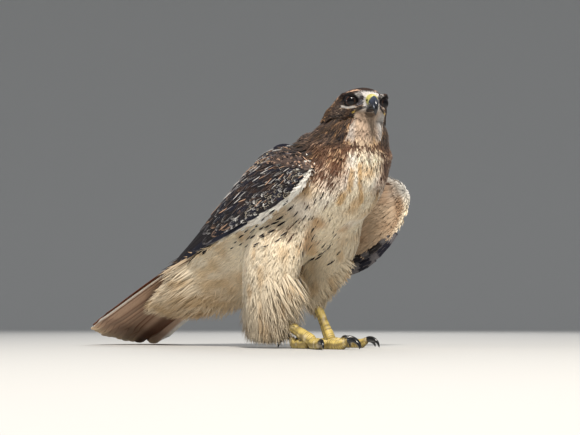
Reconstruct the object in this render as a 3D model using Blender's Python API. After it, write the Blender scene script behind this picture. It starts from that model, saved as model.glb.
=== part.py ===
# Red-tailed hawk, a large female, standing on a flat floor with her head turned to her right.
# Lengths are in millimetres and become metres when a mesh is made.
# +X is the way the body faces, +Y is its left, +Z is up, and the floor is at z = 0.

import math

import bmesh
import bpy
import numpy as np
from mathutils import Matrix, Vector

MM = 0.001
GAP = 0.3
FLOOR_CENTRE = (-81.0, 14.6)
SHARP_ANGLE = 50.0

# sides round a section and rings along a piece
TRUNK_SIDES, TRUNK_RINGS = 22, 20
NECK_RINGS = 6
HEAD_SIDES, HEAD_RINGS = 20, 13
THIGH_SIDES, THIGH_RINGS = 15, 10
TARSUS_SIDES, TARSUS_RINGS = 10, 8
TOE_SIDES, TOE_RINGS = 8, 7
CLAW_SIDES, CLAW_RINGS = 6, 6
WING_ROWS, WING_COLUMNS = 17, 9
DOME = 0.55
TRUNK_DOME = 0.12

# directions that stay on top of a bent piece along its whole length; a claw's is ahead and up
NECK_BACK = (-0.95, 0.3, 0.25)
BILL_UP = (1.0, 0.0, 1.0)
LEG_FRONT = (1.0, 0.0, 0.0)

TAIL_ROOT = (-124.0, 5.0, 112.0)
TAIL_LENGTH = 222.0
TAIL_PITCH = -28.5
TAIL_ROLL = -12.0
TAIL_FEATHERS = 12
TAIL_ROWS = 8
TAIL_HALF_WIDTH = (28.0, 66.0)
TAIL_THICKNESS = (9.0, 1.4)
TAIL_ARCH = 9.0

HEAD_CENTRE = (112.0, -3.0, 288.0)
HEAD_YAW = -37.0
HEAD_PITCH = -2.0
EYE_PLACE = (17.0, 17.8, 3.0)
EYE_RADIUS = 9.5
EYE_SEGMENTS, EYE_RINGS = 12, 8

TARSUS_GIRTH = ((0, 6.8), (0.25, 5.6), (0.6, 5.4), (0.85, 6.6), (1, 8.0))
TOE_START = 5.0
TOE_STEPS = (0.0, 0.28, 0.52, 0.8, 1.0)
TOE_RADII = (6.6, 5.6, 6.0, 5.4, 4.4)
TOE_DEPTH = 1.12
TOE_SINK = 0.88
CLAW_RADIUS = 3.4
CLAW_POINT = 0.45
CLAW_START = -22.0
CLAW_TURN = 105.0
CLAW_BACK = (0.5, 0.87)

DARK_BROWN = (0.085, 0.055, 0.04, 1)
CREAM = (0.78, 0.68, 0.54, 1)
BUFF = (0.62, 0.45, 0.32, 1)
HORN = (0.03, 0.032, 0.038, 1)
YELLOW = (0.78, 0.6, 0.16, 1)
EYE_BROWN = (0.02, 0.012, 0.01, 1)


def clear_scene():
    for old in list(bpy.data.objects):
        bpy.data.objects.remove(old, do_unlink=True)


def material(name, colour, roughness):
    made = bpy.data.materials.new(name)
    made.use_nodes = True
    shader = made.node_tree.nodes["Principled BSDF"]
    shader.inputs["Base Color"].default_value = colour
    shader.inputs["Roughness"].default_value = roughness
    shader.inputs["Metallic"].default_value = 0.0
    return made


def turned(yaw, pitch, roll=0.0):
    """A rotation whose X column is the pointing direction; pitch is positive upwards."""
    return (
        Matrix.Rotation(math.radians(yaw), 3, "Z")
        @ Matrix.Rotation(math.radians(-pitch), 3, "Y")
        @ Matrix.Rotation(math.radians(roll), 3, "X")
    )


def smooth_rows(rows, count):
    """A smooth curve through the rows of a table, read at count even steps."""
    rows = np.array(rows, float)
    steps = np.linspace(0, len(rows) - 1, count)
    first = np.minimum(steps.astype(int), len(rows) - 2)
    t = (steps - first)[:, None]
    before = rows[np.maximum(first - 1, 0)]
    here, after = rows[first], rows[first + 1]
    beyond = rows[np.minimum(first + 2, len(rows) - 1)]
    return 0.5 * (
        2 * here
        + (after - before) * t
        + (2 * before - 5 * here + 4 * after - beyond) * t**2
        + (3 * here - before - 3 * after + beyond) * t**3
    )


def unit(vectors):
    return vectors / np.linalg.norm(vectors, axis=-1, keepdims=True)


def finish(name, points, faces, look):
    """Makes the object from millimetre points, at its place over the floor's centre.

    It is cut into triangles first, so that a solid and the cutter copied from it bend the same way.
    """
    shift = np.array([*FLOOR_CENTRE, 0.0])
    mesh = bpy.data.meshes.new(name)
    mesh.from_pydata(((points - shift) * MM).tolist(), [], faces)
    bm = bmesh.new()
    bm.from_mesh(mesh)
    bmesh.ops.triangulate(bm, faces=bm.faces)
    bmesh.ops.recalc_face_normals(bm, faces=bm.faces)
    bm.to_mesh(mesh)
    bm.free()
    mesh.shade_smooth()
    mesh.set_sharp_from_angle(angle=math.radians(SHARP_ANGLE))
    mesh.materials.append(look)
    made = bpy.data.objects.new(name, mesh)
    bpy.context.collection.objects.link(made)
    return made


def tube_faces(rings, sides):
    """Quads between rings, and a fan at each end to one pole."""
    faces = []
    for i in range(rings - 1):
        for j in range(sides):
            k = (j + 1) % sides
            faces.append((i * sides + j, i * sides + k, (i + 1) * sides + k, (i + 1) * sides + j))
    start, end = rings * sides, rings * sides + 1
    last = (rings - 1) * sides
    for j in range(sides):
        k = (j + 1) % sides
        faces.append((start, k, j))
        faces.append((end, last + j, last + k))
    return faces


def tube(name, stations, rings, sides, look, place=None, floor=None, upward=(0.0, 0.0, 1.0), dome=DOME):
    """A body swept through stations of (x, y, z, half width, up, down).

    up and down are the radii towards and away from the upward direction. Each end closes in a dome,
    whose height is the given share of the end's radius.
    """
    table = smooth_rows(stations, rings)
    centre, half, up, down = table[:, :3], table[:, 3], table[:, 4], table[:, 5]
    along = unit(np.gradient(centre, axis=0))
    side = unit(np.cross(np.array(upward), along))
    above = np.cross(along, side)
    angle = 2 * math.pi * (np.arange(sides) + 0.5) / sides
    cos, sin = np.cos(angle), np.sin(angle)
    radius = np.where(sin[None, :] > 0, up[:, None], down[:, None])
    points = (
        centre[:, None, :]
        + side[:, None, :] * (half[:, None] * cos[None, :])[..., None]
        + above[:, None, :] * (radius * sin[None, :])[..., None]
    )
    reach = dome * np.minimum(half, (up + down) / 2)
    poles = np.stack([centre[0] - along[0] * reach[0], centre[-1] + along[-1] * reach[-1]])
    cloud = np.concatenate([points.reshape(-1, 3), poles])
    if place is not None:
        rotation, origin = place
        cloud = cloud @ np.array(rotation).T + np.array(origin)
    if floor is not None:
        cloud[:, 2] = np.maximum(cloud[:, 2], floor)
    return finish(name, cloud, tube_faces(rings, sides), look)


def plate(name, outer, inner, look):
    """A closed shell between two grids of points that share their layout."""
    rows, columns = outer.shape[:2]
    count = rows * columns
    faces = []
    for i in range(rows - 1):
        for j in range(columns - 1):
            a, b = i * columns + j, i * columns + j + 1
            c, d = (i + 1) * columns + j + 1, (i + 1) * columns + j
            faces.append((a, b, c, d))
            faces.append((count + d, count + c, count + b, count + a))
    rim = [i * columns for i in range(rows)]
    rim += [(rows - 1) * columns + j for j in range(1, columns)]
    rim += [i * columns + columns - 1 for i in range(rows - 2, -1, -1)]
    rim += [j for j in range(columns - 2, 0, -1)]
    for a, b in zip(rim, rim[1:] + rim[:1]):
        faces.append((a, b, count + b, count + a))
    return finish(name, np.concatenate([outer.reshape(-1, 3), inner.reshape(-1, 3)]), faces, look)


def carve(piece, *neighbours):
    """Cuts the piece back from its neighbours, leaving the thin gap between touching pieces."""
    for other in neighbours:
        cutter = bpy.data.objects.get("cut_" + other.name)
        if cutter is None:
            cutter = bpy.data.objects.new("cut_" + other.name, other.data)
            bpy.context.collection.objects.link(cutter)
            cutter.hide_render = True
            cutter.display_type = "WIRE"
            grow = cutter.modifiers.new("gap", "DISPLACE")
            grow.mid_level = 0.0
            grow.strength = GAP * MM
        cut = piece.modifiers.new("cut", "BOOLEAN")
        cut.operation = "DIFFERENCE"
        cut.solver = "EXACT"
        cut.object = cutter


def build_trunk(look):
    """Breast, belly, back and rump in one swelling body, from under the tail to the neck."""
    stations = [
        (-214, 0, 64, 15, 5, 10),
        (-192, 0, 76, 28, 8, 27),
        (-160, 0, 92, 38, 14, 49),
        (-120, 0, 112, 46, 26, 70),
        (-70, 0, 140, 55, 42, 75),
        (-20, 0, 166, 61, 54, 70),
        (30, 0, 188, 64, 61, 67),
        (70, -1, 206, 63, 66, 61),
        (91, -3, 224, 57, 65, 51),
        (97, -4, 238, 51, 60, 45),
    ]
    return tube("trunk", stations, TRUNK_RINGS, TRUNK_SIDES, look, dome=TRUNK_DOME)


def build_neck(look):
    """The thick feathered neck, which widens into the mantle."""
    stations = [
        (91, -3, 228, 53, 62, 48),
        (98, -4, 245, 48, 56, 43),
        (103, -5, 262, 42, 48, 38),
        (105, -5, 283, 34, 43, 24),
    ]
    return tube("neck", stations, NECK_RINGS, TRUNK_SIDES, look, upward=NECK_BACK)


def head_place():
    return turned(HEAD_YAW, HEAD_PITCH), HEAD_CENTRE


def build_head(look):
    """Skull with its feathers: flat crown, full cheeks and a face that narrows to the cere."""
    stations = [
        (-39, 0, -7, 12, 10, 14),
        (-33, -1.5, -6, 23, 18, 22),
        (-20, -1.5, -4, 32, 24, 28),
        (-4, -1, -3, 33, 25.5, 30),
        (9, 0, -3, 29.5, 25.5, 28),
        (19, 0, -2, 24.5, 22.5, 21),
        (27, 0, -1, 20, 17, 15),
        (34, 0, 1, 12.5, 11, 12),
        (38, 0, 1, 8, 8, 9),
    ]
    return tube("head", stations, HEAD_RINGS, HEAD_SIDES, look, place=head_place())


def build_eyes(look):
    """Two globes set under the brows, looking half forward."""
    made = []
    rotation, origin = head_place()
    forward, outward, height = EYE_PLACE
    for side, name in ((-1, "eye_right"), (1, "eye_left")):
        centre = rotation @ Vector((forward, side * outward, height)) + Vector(origin)
        bm = bmesh.new()
        bmesh.ops.create_uvsphere(
            bm, u_segments=EYE_SEGMENTS, v_segments=EYE_RINGS, radius=EYE_RADIUS
        )
        points = np.array([v.co[:] for v in bm.verts]) + np.array(centre)
        faces = [tuple(v.index for v in f.verts) for f in bm.faces]
        bm.free()
        made.append(finish(name, points, faces, look))
    return made


def build_bill(horn, skin):
    """Cere, hooked upper bill and the shorter lower bill."""
    place = head_place()
    cere = tube(
        "cere",
        [(29, 0, 2, 9, 8.8, 8), (35, 0, 2, 8.9, 9, 8), (41, 0, 1.5, 8.2, 8.6, 7.6)],
        4, 12, skin, place=place,
    )
    upper = tube(
        "bill_upper",
        [
            (34, 0, 1.5, 7.8, 8, 6.8),
            (43, 0, 1, 7.4, 7.8, 7),
            (50, 0, -2, 6.2, 7, 6.8),
            (55, 0, -7.5, 4.6, 5.6, 5.4),
            (57, 0, -14, 2.8, 3.8, 3.4),
            (55.5, 0, -20, 1.2, 1.6, 1.6),
        ],
        10, 10, horn, place=place, upward=BILL_UP,
    )
    lower = tube(
        "bill_lower",
        [(25, 0, -9.5, 7.4, 2.6, 4.4), (37, 0, -10.5, 6.6, 2.4, 4.4), (48, 0, -12, 3.6, 1.4, 3)],
        5, 10, horn, place=place,
    )
    return cere, upper, lower


def build_tail(look):
    """Twelve rectrices in a half-open fan: an arched plate with a scalloped end.

    Its left corner is the lowest and lies on the floor.
    """
    u = np.linspace(0, 1, TAIL_ROWS)[:, None]
    v = np.linspace(-1, 1, 2 * TAIL_FEATHERS + 1)[None, :]
    scallop = 1.0 - 0.035 * (1 - np.abs(np.cos(math.pi * TAIL_FEATHERS / 2 * v)) ** 0.6)
    ends = 1.0 - 0.055 * np.abs(v) ** 2.5
    reach = TAIL_LENGTH * u * (1 + (scallop * ends - 1) * u**3)
    root, tip = TAIL_HALF_WIDTH
    x = -reach + 0 * v
    y = (root + (tip - root) * u**0.9) * v
    arch = TAIL_ARCH * (1 - v**2) * (1 - 0.45 * u)
    thick_root, thick_tip = TAIL_THICKNESS
    thick = (thick_root + (thick_tip - thick_root) * u**0.6) * (1 - 0.45 * np.abs(v) ** 3)
    outer = np.stack([x, y, arch + thick / 2], -1)
    inner = np.stack([x, y, arch - thick / 2], -1)
    rotation = np.array(turned(0.0, -TAIL_PITCH, TAIL_ROLL))
    outer, inner = (grid @ rotation.T + np.array(TAIL_ROOT) for grid in (outer, inner))
    outer[..., 2] = np.maximum(outer[..., 2], thick_tip)
    inner[..., 2] = np.maximum(inner[..., 2], 0.0)
    return plate("tail", outer, inner, look)


def wing_plate(name, low_edge, high_edge, bulge, thickness, look):
    """A folded wing between its low and high edges, bowed outwards, thick at the arm and thin at the tips."""
    low, high = smooth_rows(low_edge, WING_ROWS), smooth_rows(high_edge, WING_ROWS)
    bow = smooth_rows([[b] for b in bulge], WING_ROWS)
    deep = smooth_rows([[t] for t in thickness], WING_ROWS)
    v = np.linspace(0, 1, WING_COLUMNS)
    across = unit(high - low)
    along = unit(np.gradient((low + high) / 2, axis=0))
    outward = unit(np.cross(across, along))
    middle = WING_ROWS // 3
    if outward[middle, 1] * low[middle, 1] < 0:
        outward = -outward
    swell = np.sin(math.pi * (0.06 + 0.88 * v)) ** 0.8
    outer = (
        low[:, None, :] * (1 - v)[None, :, None]
        + high[:, None, :] * v[None, :, None]
        + outward[:, None, :] * (bow * swell[None, :])[..., None]
    )
    wall = np.maximum(deep * (0.3 + 0.7 * swell[None, :]), 1.0)
    inner = outer - outward[:, None, :] * wall[..., None]
    return plate(name, outer, inner, look)


def build_wings(look):
    """The right wing lies closed along the body. The left one hangs away from it, so its lining shows."""
    right_low = [
        (87, -66, 204), (84, -76, 190), (70, -80, 178), (45, -79, 166), (-3, -76, 151), (-50, -69, 136),
        (-98, -57, 121), (-140, -46, 108), (-173, -38, 97), (-196, -32, 89), (-212, -27, 83),
    ]
    right_high = [
        (86, -62, 210), (78, -60, 220), (52, -48, 236), (14, -30, 246), (-30, -18, 236), (-66, -12, 208),
        (-103, -10, 173), (-139, -10, 141), (-170, -12, 117), (-194, -14, 99), (-212, -19, 87),
    ]
    right = wing_plate(
        "wing_right", right_low, right_high,
        [6, 13, 17, 18, 17, 16, 14, 10, 6, 3, 1],
        [9, 16, 22, 24, 24, 22, 16, 9, 4, 2.5, 1.5], look,
    )
    left_low = [
        (112, 96, 192), (110, 111, 180), (97, 108, 150), (68, 92, 112), (30, 76, 98), (-20, 64, 94),
        (-80, 54, 95), (-126, 46, 94), (-166, 40, 91), (-193, 34, 87), (-210, 28, 82),
    ]
    left_high = [
        (110, 88, 202), (104, 84, 212), (76, 58, 228), (36, 34, 244), (-18, 20, 240), (-62, 13, 212),
        (-103, 11, 175), (-139, 12, 142), (-170, 14, 117), (-193, 16, 99), (-210, 21, 87),
    ]
    left = wing_plate(
        "wing_left", left_low, left_high,
        [5, 10, 15, 22, 29, 30, 25, 15, 7, 4, 1],
        [9, 12, 14, 20, 27, 28, 22, 11, 4, 2.5, 1.5], look,
    )
    return right, left


def build_thigh(name, stations, look):
    """The feathered thigh and its long trousers, which end in a hem over the shank."""
    return tube(name, stations, THIGH_RINGS, THIGH_SIDES, look, upward=LEG_FRONT)


def build_tarsus(name, ankle, foot, look):
    """The bare shank, thickest at the ankle and where the toes meet."""
    start, end = np.array(ankle, float), np.array(foot, float)
    stations = [(*(start + (end - start) * t), r, r * 1.1, r * 1.1) for t, r in TARSUS_GIRTH]
    return tube(name, stations, TARSUS_RINGS, TARSUS_SIDES, look, floor=0.0, upward=(1.0, 0.0, 0.3))


def claw_line(length, steps):
    """How far out and down an evenly curved claw runs, at even steps along it."""
    turn = np.radians(CLAW_START + CLAW_TURN * steps)
    bend = length / math.radians(CLAW_TURN)
    start = math.radians(CLAW_START)
    return bend * (np.sin(turn) - math.sin(start)), bend * (math.cos(start) - np.cos(turn))


def build_toe(name, root, heading, length, claw_length, skin, horn):
    """One toe with its joint pads flat on the floor, and the hooked claw that lifts its last joint."""
    way = np.array([math.cos(math.radians(heading)), math.sin(math.radians(heading))])
    steps = np.linspace(0, 1, 5)
    out, drop = claw_line(claw_length, steps)
    tip_height = drop[-1] + 2 * CLAW_POINT
    heights = [r * TOE_DEPTH * TOE_SINK for r in TOE_RADII[:-1]] + [tip_height]
    stations = []
    for t, height, r in zip(TOE_STEPS, heights, TOE_RADII):
        stations.append((*(np.array(root) + way * length * t), height, r, r, r * TOE_DEPTH))
    toe = tube(name, stations, TOE_RINGS, TOE_SIDES, skin, floor=0.0)
    tip = np.array(root) + way * length
    claw_stations = []
    for t, ahead, below in zip(steps, out, drop):
        r = CLAW_RADIUS * (1 - t) ** 0.7 + CLAW_POINT
        claw_stations.append((*(tip + way * (1.5 + ahead)), tip_height - below, r * 0.85, r, r))
    ahead, above = CLAW_BACK
    back = (ahead * way[0], ahead * way[1], above)
    claw = tube(
        "claw_" + name[4:], claw_stations, CLAW_RINGS, CLAW_SIDES, horn, floor=0.0, upward=back
    )
    return toe, claw


def build_limb(side, thigh, ankle, foot, heading, skin, horn):
    """Shank, three toes forward and the hind toe. The toes' turns are mirrored on the right foot."""
    tarsus = build_tarsus("tarsus_" + side, ankle, foot, skin)
    carve(tarsus, thigh)
    mirror = 1 if side == "left" else -1
    toes = (
        ("inner", -38 * mirror, 33, 24),
        ("middle", -4 * mirror, 47, 21),
        ("outer", 34 * mirror, 37, 17),
        ("hind", 178, 27, 27),
    )
    done = []
    for label, turn, length, claw_length in toes:
        way = math.radians(heading + turn)
        root = (foot[0] + TOE_START * math.cos(way), foot[1] + TOE_START * math.sin(way))
        toe_name = "toe_%s_%s" % (label, side)
        toe, claw = build_toe(toe_name, root, heading + turn, length, claw_length, skin, horn)
        carve(toe, tarsus, *done)
        carve(claw, toe)
        done.append(toe)


def build_hawk():
    plumage = material("plumage_pale", CREAM, 0.85)
    dark = material("plumage_dark", DARK_BROWN, 0.8)
    tail_look = material("tail_feathers", BUFF, 0.75)
    skin = material("foot_skin", YELLOW, 0.55)
    horn = material("horn", HORN, 0.3)
    globe = material("eye", EYE_BROWN, 0.08)

    cere, upper, lower = build_bill(horn, skin)
    carve(upper, cere)
    carve(lower, upper, cere)
    eyes = build_eyes(globe)
    head = build_head(dark)
    carve(head, cere, upper, lower, *eyes)
    trunk = build_trunk(plumage)
    carve(trunk, head)
    neck = build_neck(dark)
    carve(neck, trunk, head, lower)
    tail = build_tail(tail_look)
    carve(tail, trunk)
    right_wing, left_wing = build_wings(dark)
    for wing in (right_wing, left_wing):
        carve(wing, trunk, neck, tail)
    carve(left_wing, right_wing)
    right_thigh = build_thigh(
        "thigh_right",
        [
            (16, -34, 172, 30, 40, 42), (14, -38, 140, 32, 42, 44), (8, -42, 108, 31, 39, 42),
            (2, -43, 78, 29, 35, 38), (-3, -43, 52, 25, 29, 31), (-6, -43, 24, 16, 19, 19),
        ],
        plumage,
    )
    left_thigh = build_thigh(
        "thigh_left",
        [
            (44, 28, 165, 27, 42, 40), (40, 31, 138, 28, 42, 38), (32, 33, 112, 25, 35, 33),
            (22, 34, 90, 21, 26, 27), (13, 34, 68, 17, 18, 20), (9, 34, 52, 13, 12, 14),
        ],
        plumage,
    )
    for thigh in (right_thigh, left_thigh):
        carve(thigh, trunk, right_wing, left_wing)
    build_limb("right", right_thigh, (2, -43, 44), (66, -43, 9), -6, skin, horn)
    build_limb("left", left_thigh, (12, 34, 62), (38, 33, 9), 8, skin, horn)


clear_scene()
build_hawk()
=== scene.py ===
import math

import bpy
import numpy as np
import openvdb
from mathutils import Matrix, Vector


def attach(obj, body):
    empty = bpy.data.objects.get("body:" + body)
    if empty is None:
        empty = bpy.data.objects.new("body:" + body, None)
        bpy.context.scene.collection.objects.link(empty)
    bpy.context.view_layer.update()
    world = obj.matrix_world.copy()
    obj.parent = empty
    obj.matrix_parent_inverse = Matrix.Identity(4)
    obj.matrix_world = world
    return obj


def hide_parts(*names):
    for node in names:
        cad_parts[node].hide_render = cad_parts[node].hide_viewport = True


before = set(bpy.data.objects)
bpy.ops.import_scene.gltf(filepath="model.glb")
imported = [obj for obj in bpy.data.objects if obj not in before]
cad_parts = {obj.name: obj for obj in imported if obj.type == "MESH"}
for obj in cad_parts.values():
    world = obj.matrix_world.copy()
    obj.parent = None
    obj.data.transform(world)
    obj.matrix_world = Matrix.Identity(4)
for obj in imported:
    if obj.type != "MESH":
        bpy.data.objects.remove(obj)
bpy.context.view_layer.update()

# Lengths are millimetres from the body's own origin, as the solids were drawn, and become
# metres over the floor's centre when a mesh is made. +X is forwards, +Y the bird's left.
floorCentre = np.array([-81.0, 14.6, 0.0])
toMetres = 0.001

# Feather, skin and horn colours as they look in daylight, red green blue out of 255.
palette = {
    "white": (244, 240, 232),
    "cream": (240, 226, 200),
    "warmCream": (232, 208, 170),
    "goldBuff": (206, 164, 104),
    "tan": (176, 136, 96),
    "pinkBuff": (206, 168, 140),
    "taupe": (172, 150, 130),
    "paleGrey": (206, 202, 198),
    "midGrey": (136, 132, 134),
    "rufous": (168, 84, 40),
    "rufousBrown": (112, 68, 44),
    "brown": (78, 54, 42),
    "darkBrown": (46, 32, 27),
    "blackBrown": (27, 22, 24),
    "blueBlack": (21, 21, 34),
    "cereYellow": (208, 200, 112),
    "gapeYellow": (226, 190, 84),
    "footYellow": (212, 188, 108),
    "footShade": (92, 74, 46),
    "loreGrey": (104, 102, 108),
    "softGrey": (176, 172, 168),
    "greyBrown": (90, 76, 70),
    "billBlue": (66, 76, 98),
    "billBlack": (18, 19, 24),
    "claw": (13, 13, 15),
    "lidSkin": (30, 25, 26),
    "floor": (204, 204, 202),
}


# The palette colour as linear light: below 0.04045 a straight line, above it a power of 2.4.
def ink(name):
    c = np.array(palette[name]) / 255.0
    return np.where(c < 0.04045, c / 12.92, ((c + 0.055) / 1.055) ** 2.4)


def unit(v):
    return v / np.maximum(np.linalg.norm(v, axis=-1, keepdims=True), 1e-9)


def dot(a, b):
    return (a * b).sum(-1, keepdims=True)


# 0 below low and 1 above high, along the cubic 3t^2 - 2t^3 between them.
def soft(low, high, x):
    t = np.clip((x - low) / (high - low), 0, 1)
    return t * t * (3 - 2 * t)


def mixed(a, b, share):
    return a + (b - a) * np.asarray(share)[..., None]


def circle(count):
    return np.linspace(0, 2 * np.pi, count + 1)[:-1]


# Both sides of a mirrored shape laid onto its left one.
def folded(local):
    return np.stack([local[..., 0], np.abs(local[..., 1]), local[..., 2]], -1)


# For a direction straight out of the head: the level direction ahead of it, and the one up along its face.
def faceAxes(out):
    out = unit(np.array(out))
    ahead = unit(np.cross(out, np.array([0, 0, 1.0])))
    return out, ahead, np.cross(ahead, out)


# The number of the place nearest to each point, found block by block to spare memory.
def nearest(points, places, block=200):
    blocks = np.array_split(points, max(len(points) // block, 1))
    return np.concatenate([((places[None] - some[:, None]) ** 2).sum(-1).argmin(1) for some in blocks])


# Roll about X, then pitch up about Y, then yaw about Z, in degrees.
def turned(yaw, pitch, roll=0.0):
    y, p, r = np.radians([yaw, -pitch, roll])
    aboutZ = np.array([[np.cos(y), -np.sin(y), 0], [np.sin(y), np.cos(y), 0], [0, 0, 1]])
    aboutY = np.array([[np.cos(p), 0, np.sin(p)], [0, 1, 0], [-np.sin(p), 0, np.cos(p)]])
    aboutX = np.array([[1, 0, 0], [0, np.cos(r), -np.sin(r)], [0, np.sin(r), np.cos(r)]])
    return aboutZ @ aboutY @ aboutX


# A Catmull-Rom curve through the rows of a table, read at the given steps from 0 to 1.
def smoothRows(rows, steps):
    rows = np.asarray(rows, float)
    x = np.asarray(steps, float) * (len(rows) - 1)
    i = np.clip(x.astype(int), 0, len(rows) - 2)
    t = (x - i)[..., None]
    a, b, c, d = (rows[np.clip(i + k, 0, len(rows) - 1)] for k in (-1, 0, 1, 2))
    return 0.5 * (2 * b + (c - a) * t + (2 * a - 5 * b + 4 * c - d) * t**2 + (3 * b - a - 3 * c + d) * t**3)


# The head's own axes: X out along the bill, Y to its left, Z up
headShape = {"centre": (112.0, -3.0, 288.0), "yaw": -37.0, "pitch": -2.0,
             "eye": (15.5, 18.8, 3.0), "eyeRadius": 8.7}
headAxes = turned(headShape["yaw"], headShape["pitch"])
headCentre = np.array(headShape["centre"])


def toHead(points):
    return (points - headCentre) @ headAxes


def fromHead(points):
    return np.asarray(points, float) @ headAxes.T + headCentre


# Camera, floor and lights
cameraShape = {"azimuth": 38.0, "distance": 1300.0, "height": 30.0, "lookUp": 5.8, "focalPixels": 1040.0,
               "width": 580, "frameHeight": 435, "sensor": 36.0}


# Where the camera stands and its forward, right and up directions.
def cameraAxes():
    a, up = np.radians([cameraShape["azimuth"], cameraShape["lookUp"]])
    out = np.array([np.sin(a), -np.cos(a), 0.0])
    place = out * cameraShape["distance"] + np.array([0, 0, cameraShape["height"]])
    forward = -out * np.cos(up) + np.array([0, 0, np.sin(up)])
    right = np.array([np.cos(a), np.sin(a), 0.0])
    return place, forward, right, np.cross(right, forward)


def makeCamera():
    place, forward, right, up = cameraAxes()
    data = bpy.data.cameras.new("camera")
    data.sensor_width = cameraShape["sensor"]
    data.lens = cameraShape["sensor"] * cameraShape["focalPixels"] / cameraShape["width"]
    data.clip_start = 0.01
    camera = bpy.data.objects.new("camera", data)
    camera.location = (place - floorCentre) * toMetres
    camera.rotation_euler = Vector(forward).to_track_quat("-Z", "Y").to_euler()
    bpy.context.scene.collection.objects.link(camera)
    bpy.context.scene.camera = camera


studio = {
    "key": {"place": (1.15, -1.05, 1.95), "size": 0.6, "power": 70.0, "colour": (1.0, 0.94, 0.86)},
    "fill": {"place": (-1.4, -1.7, 0.7), "size": 0.6, "power": 6.5, "colour": (0.88, 0.93, 1.0)},
    "back": {"place": (-0.7, 1.5, 1.6), "size": 1.2, "power": 18.0, "colour": (1.0, 0.97, 0.94)},
    "aim": (0.05, 0.0, 0.15), "world": (0.74, 0.78, 0.84), "worldPower": 0.34,
    "floorRadius": 4.0, "floorBend": 3.5, "floorRings": 40, "floorSides": 72,
}


# Three soft lights aimed at the bird, an even sky, and a pale floor that curves up far behind.
def makeStudio():
    scene = bpy.context.scene
    for name in ("key", "fill", "back"):
        spec = studio[name]
        data = bpy.data.lights.new(name, "AREA")
        data.shape = "DISK"
        data.size = spec["size"]
        data.energy = spec["power"]
        data.color = spec["colour"]
        light = bpy.data.objects.new(name, data)
        light.location = spec["place"]
        light.visible_glossy = name != "back"
        aim = Vector(studio["aim"]) - light.location
        light.rotation_euler = aim.to_track_quat("-Z", "Y").to_euler()
        scene.collection.objects.link(light)
    world = bpy.data.worlds.new("sky")
    world.use_nodes = True
    sky = world.node_tree.nodes["Background"]
    sky.inputs["Color"].default_value = (*studio["world"], 1)
    sky.inputs["Strength"].default_value = studio["worldPower"]
    scene.world = world
    scene.view_settings.view_transform = "Standard"
    # floor: a disc whose rim bends up along a quarter circle
    radius, bend = studio["floorRadius"], studio["floorBend"]
    rings, sides = studio["floorRings"], studio["floorSides"]
    around = circle(sides)[None, :]
    run = np.linspace(0, 1, rings)[:, None] * (radius + bend * np.pi / 2)
    turn = np.clip((run - radius) / bend, 0, None)
    out = np.minimum(run, radius) + bend * np.sin(turn)
    high = bend * (1 - np.cos(turn)) + 0 * around
    points = np.stack([out * np.cos(around), out * np.sin(around), high], -1)
    quads = gridQuads(rings, sides, closed=True)[:, ::-1]
    floor = putMesh("floor", points.reshape(-1, 3) / toMetres + floorCentre, [quads])
    look, tree, shader = newLook("paleFloor", 0.7, 0.5)
    shader.inputs["Base Color"].default_value = (*ink("floor"), 1)
    floor.data.materials.append(look)


# Meshes from arrays
# A mesh object from millimetre points and arrays of faces with the same number of corners.
# colours, vectors and maps hold one row for each point.
def putMesh(name, points, faceSets, colours=None, vectors=None, maps=None, sharp=60.0):
    points = np.asarray(points, float)
    mesh = bpy.data.meshes.new(name)
    mesh.vertices.add(len(points))
    mesh.vertices.foreach_set("co", ((points - floorCentre) * toMetres).astype(np.float32).ravel())
    sizes = np.concatenate([np.full(len(f), f.shape[1]) for f in faceSets])
    corners = np.concatenate([f.ravel() for f in faceSets]).astype(np.int32)
    starts = np.concatenate([[0], np.cumsum(sizes)[:-1]]).astype(np.int32)
    mesh.loops.add(len(corners))
    mesh.loops.foreach_set("vertex_index", corners)
    mesh.polygons.add(len(sizes))
    mesh.polygons.foreach_set("loop_start", starts)
    mesh.update(calc_edges=True)
    for key, values in (colours or {}).items():
        layer = mesh.attributes.new(key, "FLOAT_COLOR", "POINT")
        four = np.ones((len(points), 4), np.float32)
        four[:, : values.shape[1]] = values
        layer.data.foreach_set("color", four.ravel())
    for key, values in (vectors or {}).items():
        layer = mesh.attributes.new(key, "FLOAT_VECTOR", "POINT")
        layer.data.foreach_set("vector", values.astype(np.float32).ravel())
    for key, values in (maps or {}).items():
        layer = mesh.uv_layers.new(name=key)
        layer.data.foreach_set("uv", values[corners].astype(np.float32).ravel())
    mesh.shade_smooth()
    if sharp:
        mesh.set_sharp_from_angle(angle=math.radians(sharp))
    made = bpy.data.objects.new(name, mesh)
    bpy.context.scene.collection.objects.link(made)
    return made


def triangleCount(faceSets):
    return sum(len(f) * (f.shape[1] - 2) for f in faceSets)


# Gives the piece its material and body, and hides the nodes it stands for. Its slot is not used.
def settle(piece, material, slot, *nodes):
    piece.data.materials.append(material)
    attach(piece, "root")
    if nodes:
        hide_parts(*nodes)
    return piece


# Faces of a grid of points, wrapping round each row if it is closed.
def gridQuads(rows, columns, closed=False):
    across = columns if closed else columns - 1
    i, j = np.meshgrid(np.arange(rows - 1), np.arange(across), indexing="ij")
    k = (j + 1) % columns
    quads = np.stack([i * columns + j, i * columns + k, (i + 1) * columns + k, (i + 1) * columns + j], -1)
    return quads.reshape(-1, 4)


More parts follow.
